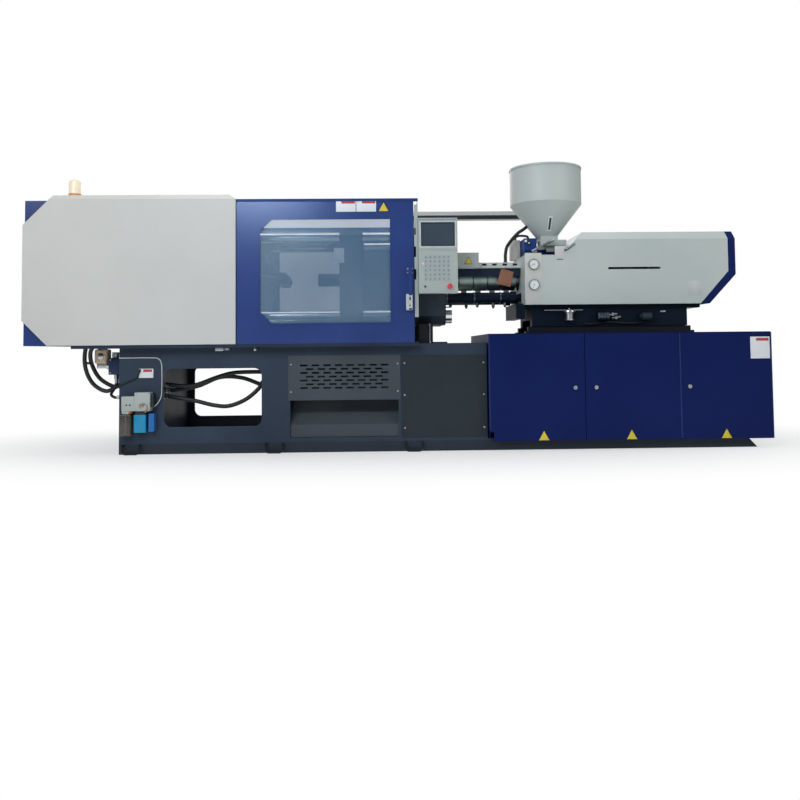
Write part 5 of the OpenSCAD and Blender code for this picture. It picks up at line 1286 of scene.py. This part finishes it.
def makeBeacon(s):
    # ribbed opal lens over an orange base ring
    r, h, base, foot = s["radius"], s["height"], s["base"], Vector(s["foot"])
    addShapes("beaconBase", "machine", "beaconCap", [
        (turned, [(0, 0), (r, 0), (r, base - 0.004), (r - 0.003, base), (0, base)], foot, (0, 0, 1), 48)],
        ["beacon"])
    lens = [(0, base - 0.001), (0.92 * r, base - 0.001), (0.91 * r, h - 0.020), (0.80 * r, h - 0.006),
            (0.55 * r, h), (0, h)]
    addShapes("beaconLens", "machine", "beaconPlastic", [
        (turned, lens, foot, (0, 0, 1), s["ribs"], s["ribDepth"])], ["beacon"])


makeBeacon(beaconSettings)
print("small parts ready")


def makeStage():
    # pale studio floor: it keeps the shadow near the machine and fades to the plain background
    floorMaterial, tree, shader, where = newMaterial("pale studio floor", "f2f2f2", "f7f7f7", 0.3,
                                                      {"Roughness": 0.5})
    plain = addNode(tree, "ShaderNodeEmission", {"Color": (1.0, 1.0, 1.0, 1.0), "Strength": 1.0})
    squeeze = addNode(tree, "ShaderNodeMapping", {"Scale": (0.24, 0.50, 1.0)}, {"Vector": where})
    away = addNode(tree, "ShaderNodeVectorMath", {"operation": "LENGTH"}, {0: squeeze})
    fade = addNode(tree, "ShaderNodeMapRange", {"From Min": 0.35, "From Max": 1.1, "To Min": 0.45,
                                                "To Max": 1.0, "interpolation_type": "SMOOTHSTEP"},
                   {"Value": away.outputs["Value"]})
    path = addNode(tree, "ShaderNodeLightPath")
    first = addNode(tree, "ShaderNodeMath", {"operation": "MAXIMUM"},
                    {0: path.outputs["Is Camera Ray"], 1: path.outputs["Is Glossy Ray"]})
    seen = addNode(tree, "ShaderNodeMath", {"operation": "MAXIMUM"},
                   {0: first, 1: path.outputs["Is Transmission Ray"]})
    share = addNode(tree, "ShaderNodeMath", {"operation": "MULTIPLY"},
                    {0: seen, 1: fade})
    mix = addNode(tree, "ShaderNodeMixShader", links={0: share, 1: shader,
                                                      2: plain})
    out = [n for n in tree.nodes if n.bl_idname == "ShaderNodeOutputMaterial"][0]
    tree.links.new(mix.outputs[0], out.inputs["Surface"])
    mesh = bpy.data.meshes.new("studioFloor")
    size = 14
    mesh.from_pydata([(-size, -size, 0), (size, -size, 0), (size, size, 0), (-size, size, 0)], [],
                     [(0, 1, 2, 3)])
    mesh.materials.append(floorMaterial)
    floor = bpy.data.objects.new("studioFloor", mesh)
    bpy.context.scene.collection.objects.link(floor)


worldSettings = {"soft": "dbe0e6", "softStrength": 0.42, "glossFront": 0.14, "glossBack": 0.42}


def makeWorld(s):
    # the camera and clear panes see plain white; gloss sees a white backdrop behind the
    # machine and a dim studio in front of it
    world = bpy.data.worlds.new("studioWorld")
    world.use_nodes = True
    tree = world.node_tree
    tree.nodes.clear()
    path = addNode(tree, "ShaderNodeLightPath")
    soft = addNode(tree, "ShaderNodeBackground", {"Color": hexColor(s["soft"]),
                                                  "Strength": s["softStrength"]})
    plain = addNode(tree, "ShaderNodeBackground", {"Color": (1.0, 1.0, 1.0, 1.0), "Strength": 1.0})
    direction = addNode(tree, "ShaderNodeTexCoord")
    axes = addNode(tree, "ShaderNodeSeparateXYZ", links={"Vector": direction.outputs["Generated"]})
    level = addNode(tree, "ShaderNodeMapRange", {"From Min": -0.6, "From Max": 0.4,
                                                 "To Min": s["glossFront"], "To Max": s["glossBack"]},
                    {"Value": axes.outputs["Y"]})
    gloss = addNode(tree, "ShaderNodeBackground", {"Color": (1.0, 1.0, 1.0, 1.0)},
                    {"Strength": level})
    shine = addNode(tree, "ShaderNodeMixShader",
                    links={0: path.outputs["Is Glossy Ray"], 1: soft, 2: gloss})
    seen = addNode(tree, "ShaderNodeMath", {"operation": "MAXIMUM"},
                   {0: path.outputs["Is Camera Ray"], 1: path.outputs["Is Transmission Ray"]})
    mix = addNode(tree, "ShaderNodeMixShader", links={0: seen, 1: shine,
                                                      2: plain})
    addNode(tree, "ShaderNodeOutputWorld", links={"Surface": mix})
    bpy.context.scene.world = world


lampSettings = {
    # place, aim, width, height, watts, colour
    "frontSoftbox": ((-3.0, -5.6, 4.05), (-0.7, 0, 1.0), 3.6, 2.6, 158, "ffffff"),
    "cornerGlow": ((-1.6, -5.6, 2.78), (-0.9, 0, 1.7), 1.1, 0.5, 26, "a6ccff"),
    "rightFill": ((5.4, -4.6, 3.8), (1.2, 0, 0.8), 2.4, 2.4, 75, "ffffff"),
    "topLight": ((0.0, -0.4, 5.0), (0, 0, 0.8), 5.5, 2.4, 88, "ffffff"),
    "rearLight": ((0.0, 5.0, 3.6), (0, 0, 1.0), 5.0, 2.0, 70, "ffffff"),
}


def makeLamps(lamps):
    for name, (where, aim, width, height, watts, color) in lamps.items():
        data = bpy.data.lights.new(name, "AREA")
        data.shape = "RECTANGLE"
        data.size = width
        data.size_y = height
        data.energy = watts
        data.color = hexColor(color)[:3]
        lamp = bpy.data.objects.new(name, data)
        lamp.location = where
        lamp.rotation_euler = (Vector(aim) - Vector(where)).to_track_quat("-Z", "Y").to_euler()
        bpy.context.scene.collection.objects.link(lamp)


makeStage()
makeWorld(worldSettings)
makeLamps(lampSettings)
print("stage ready")
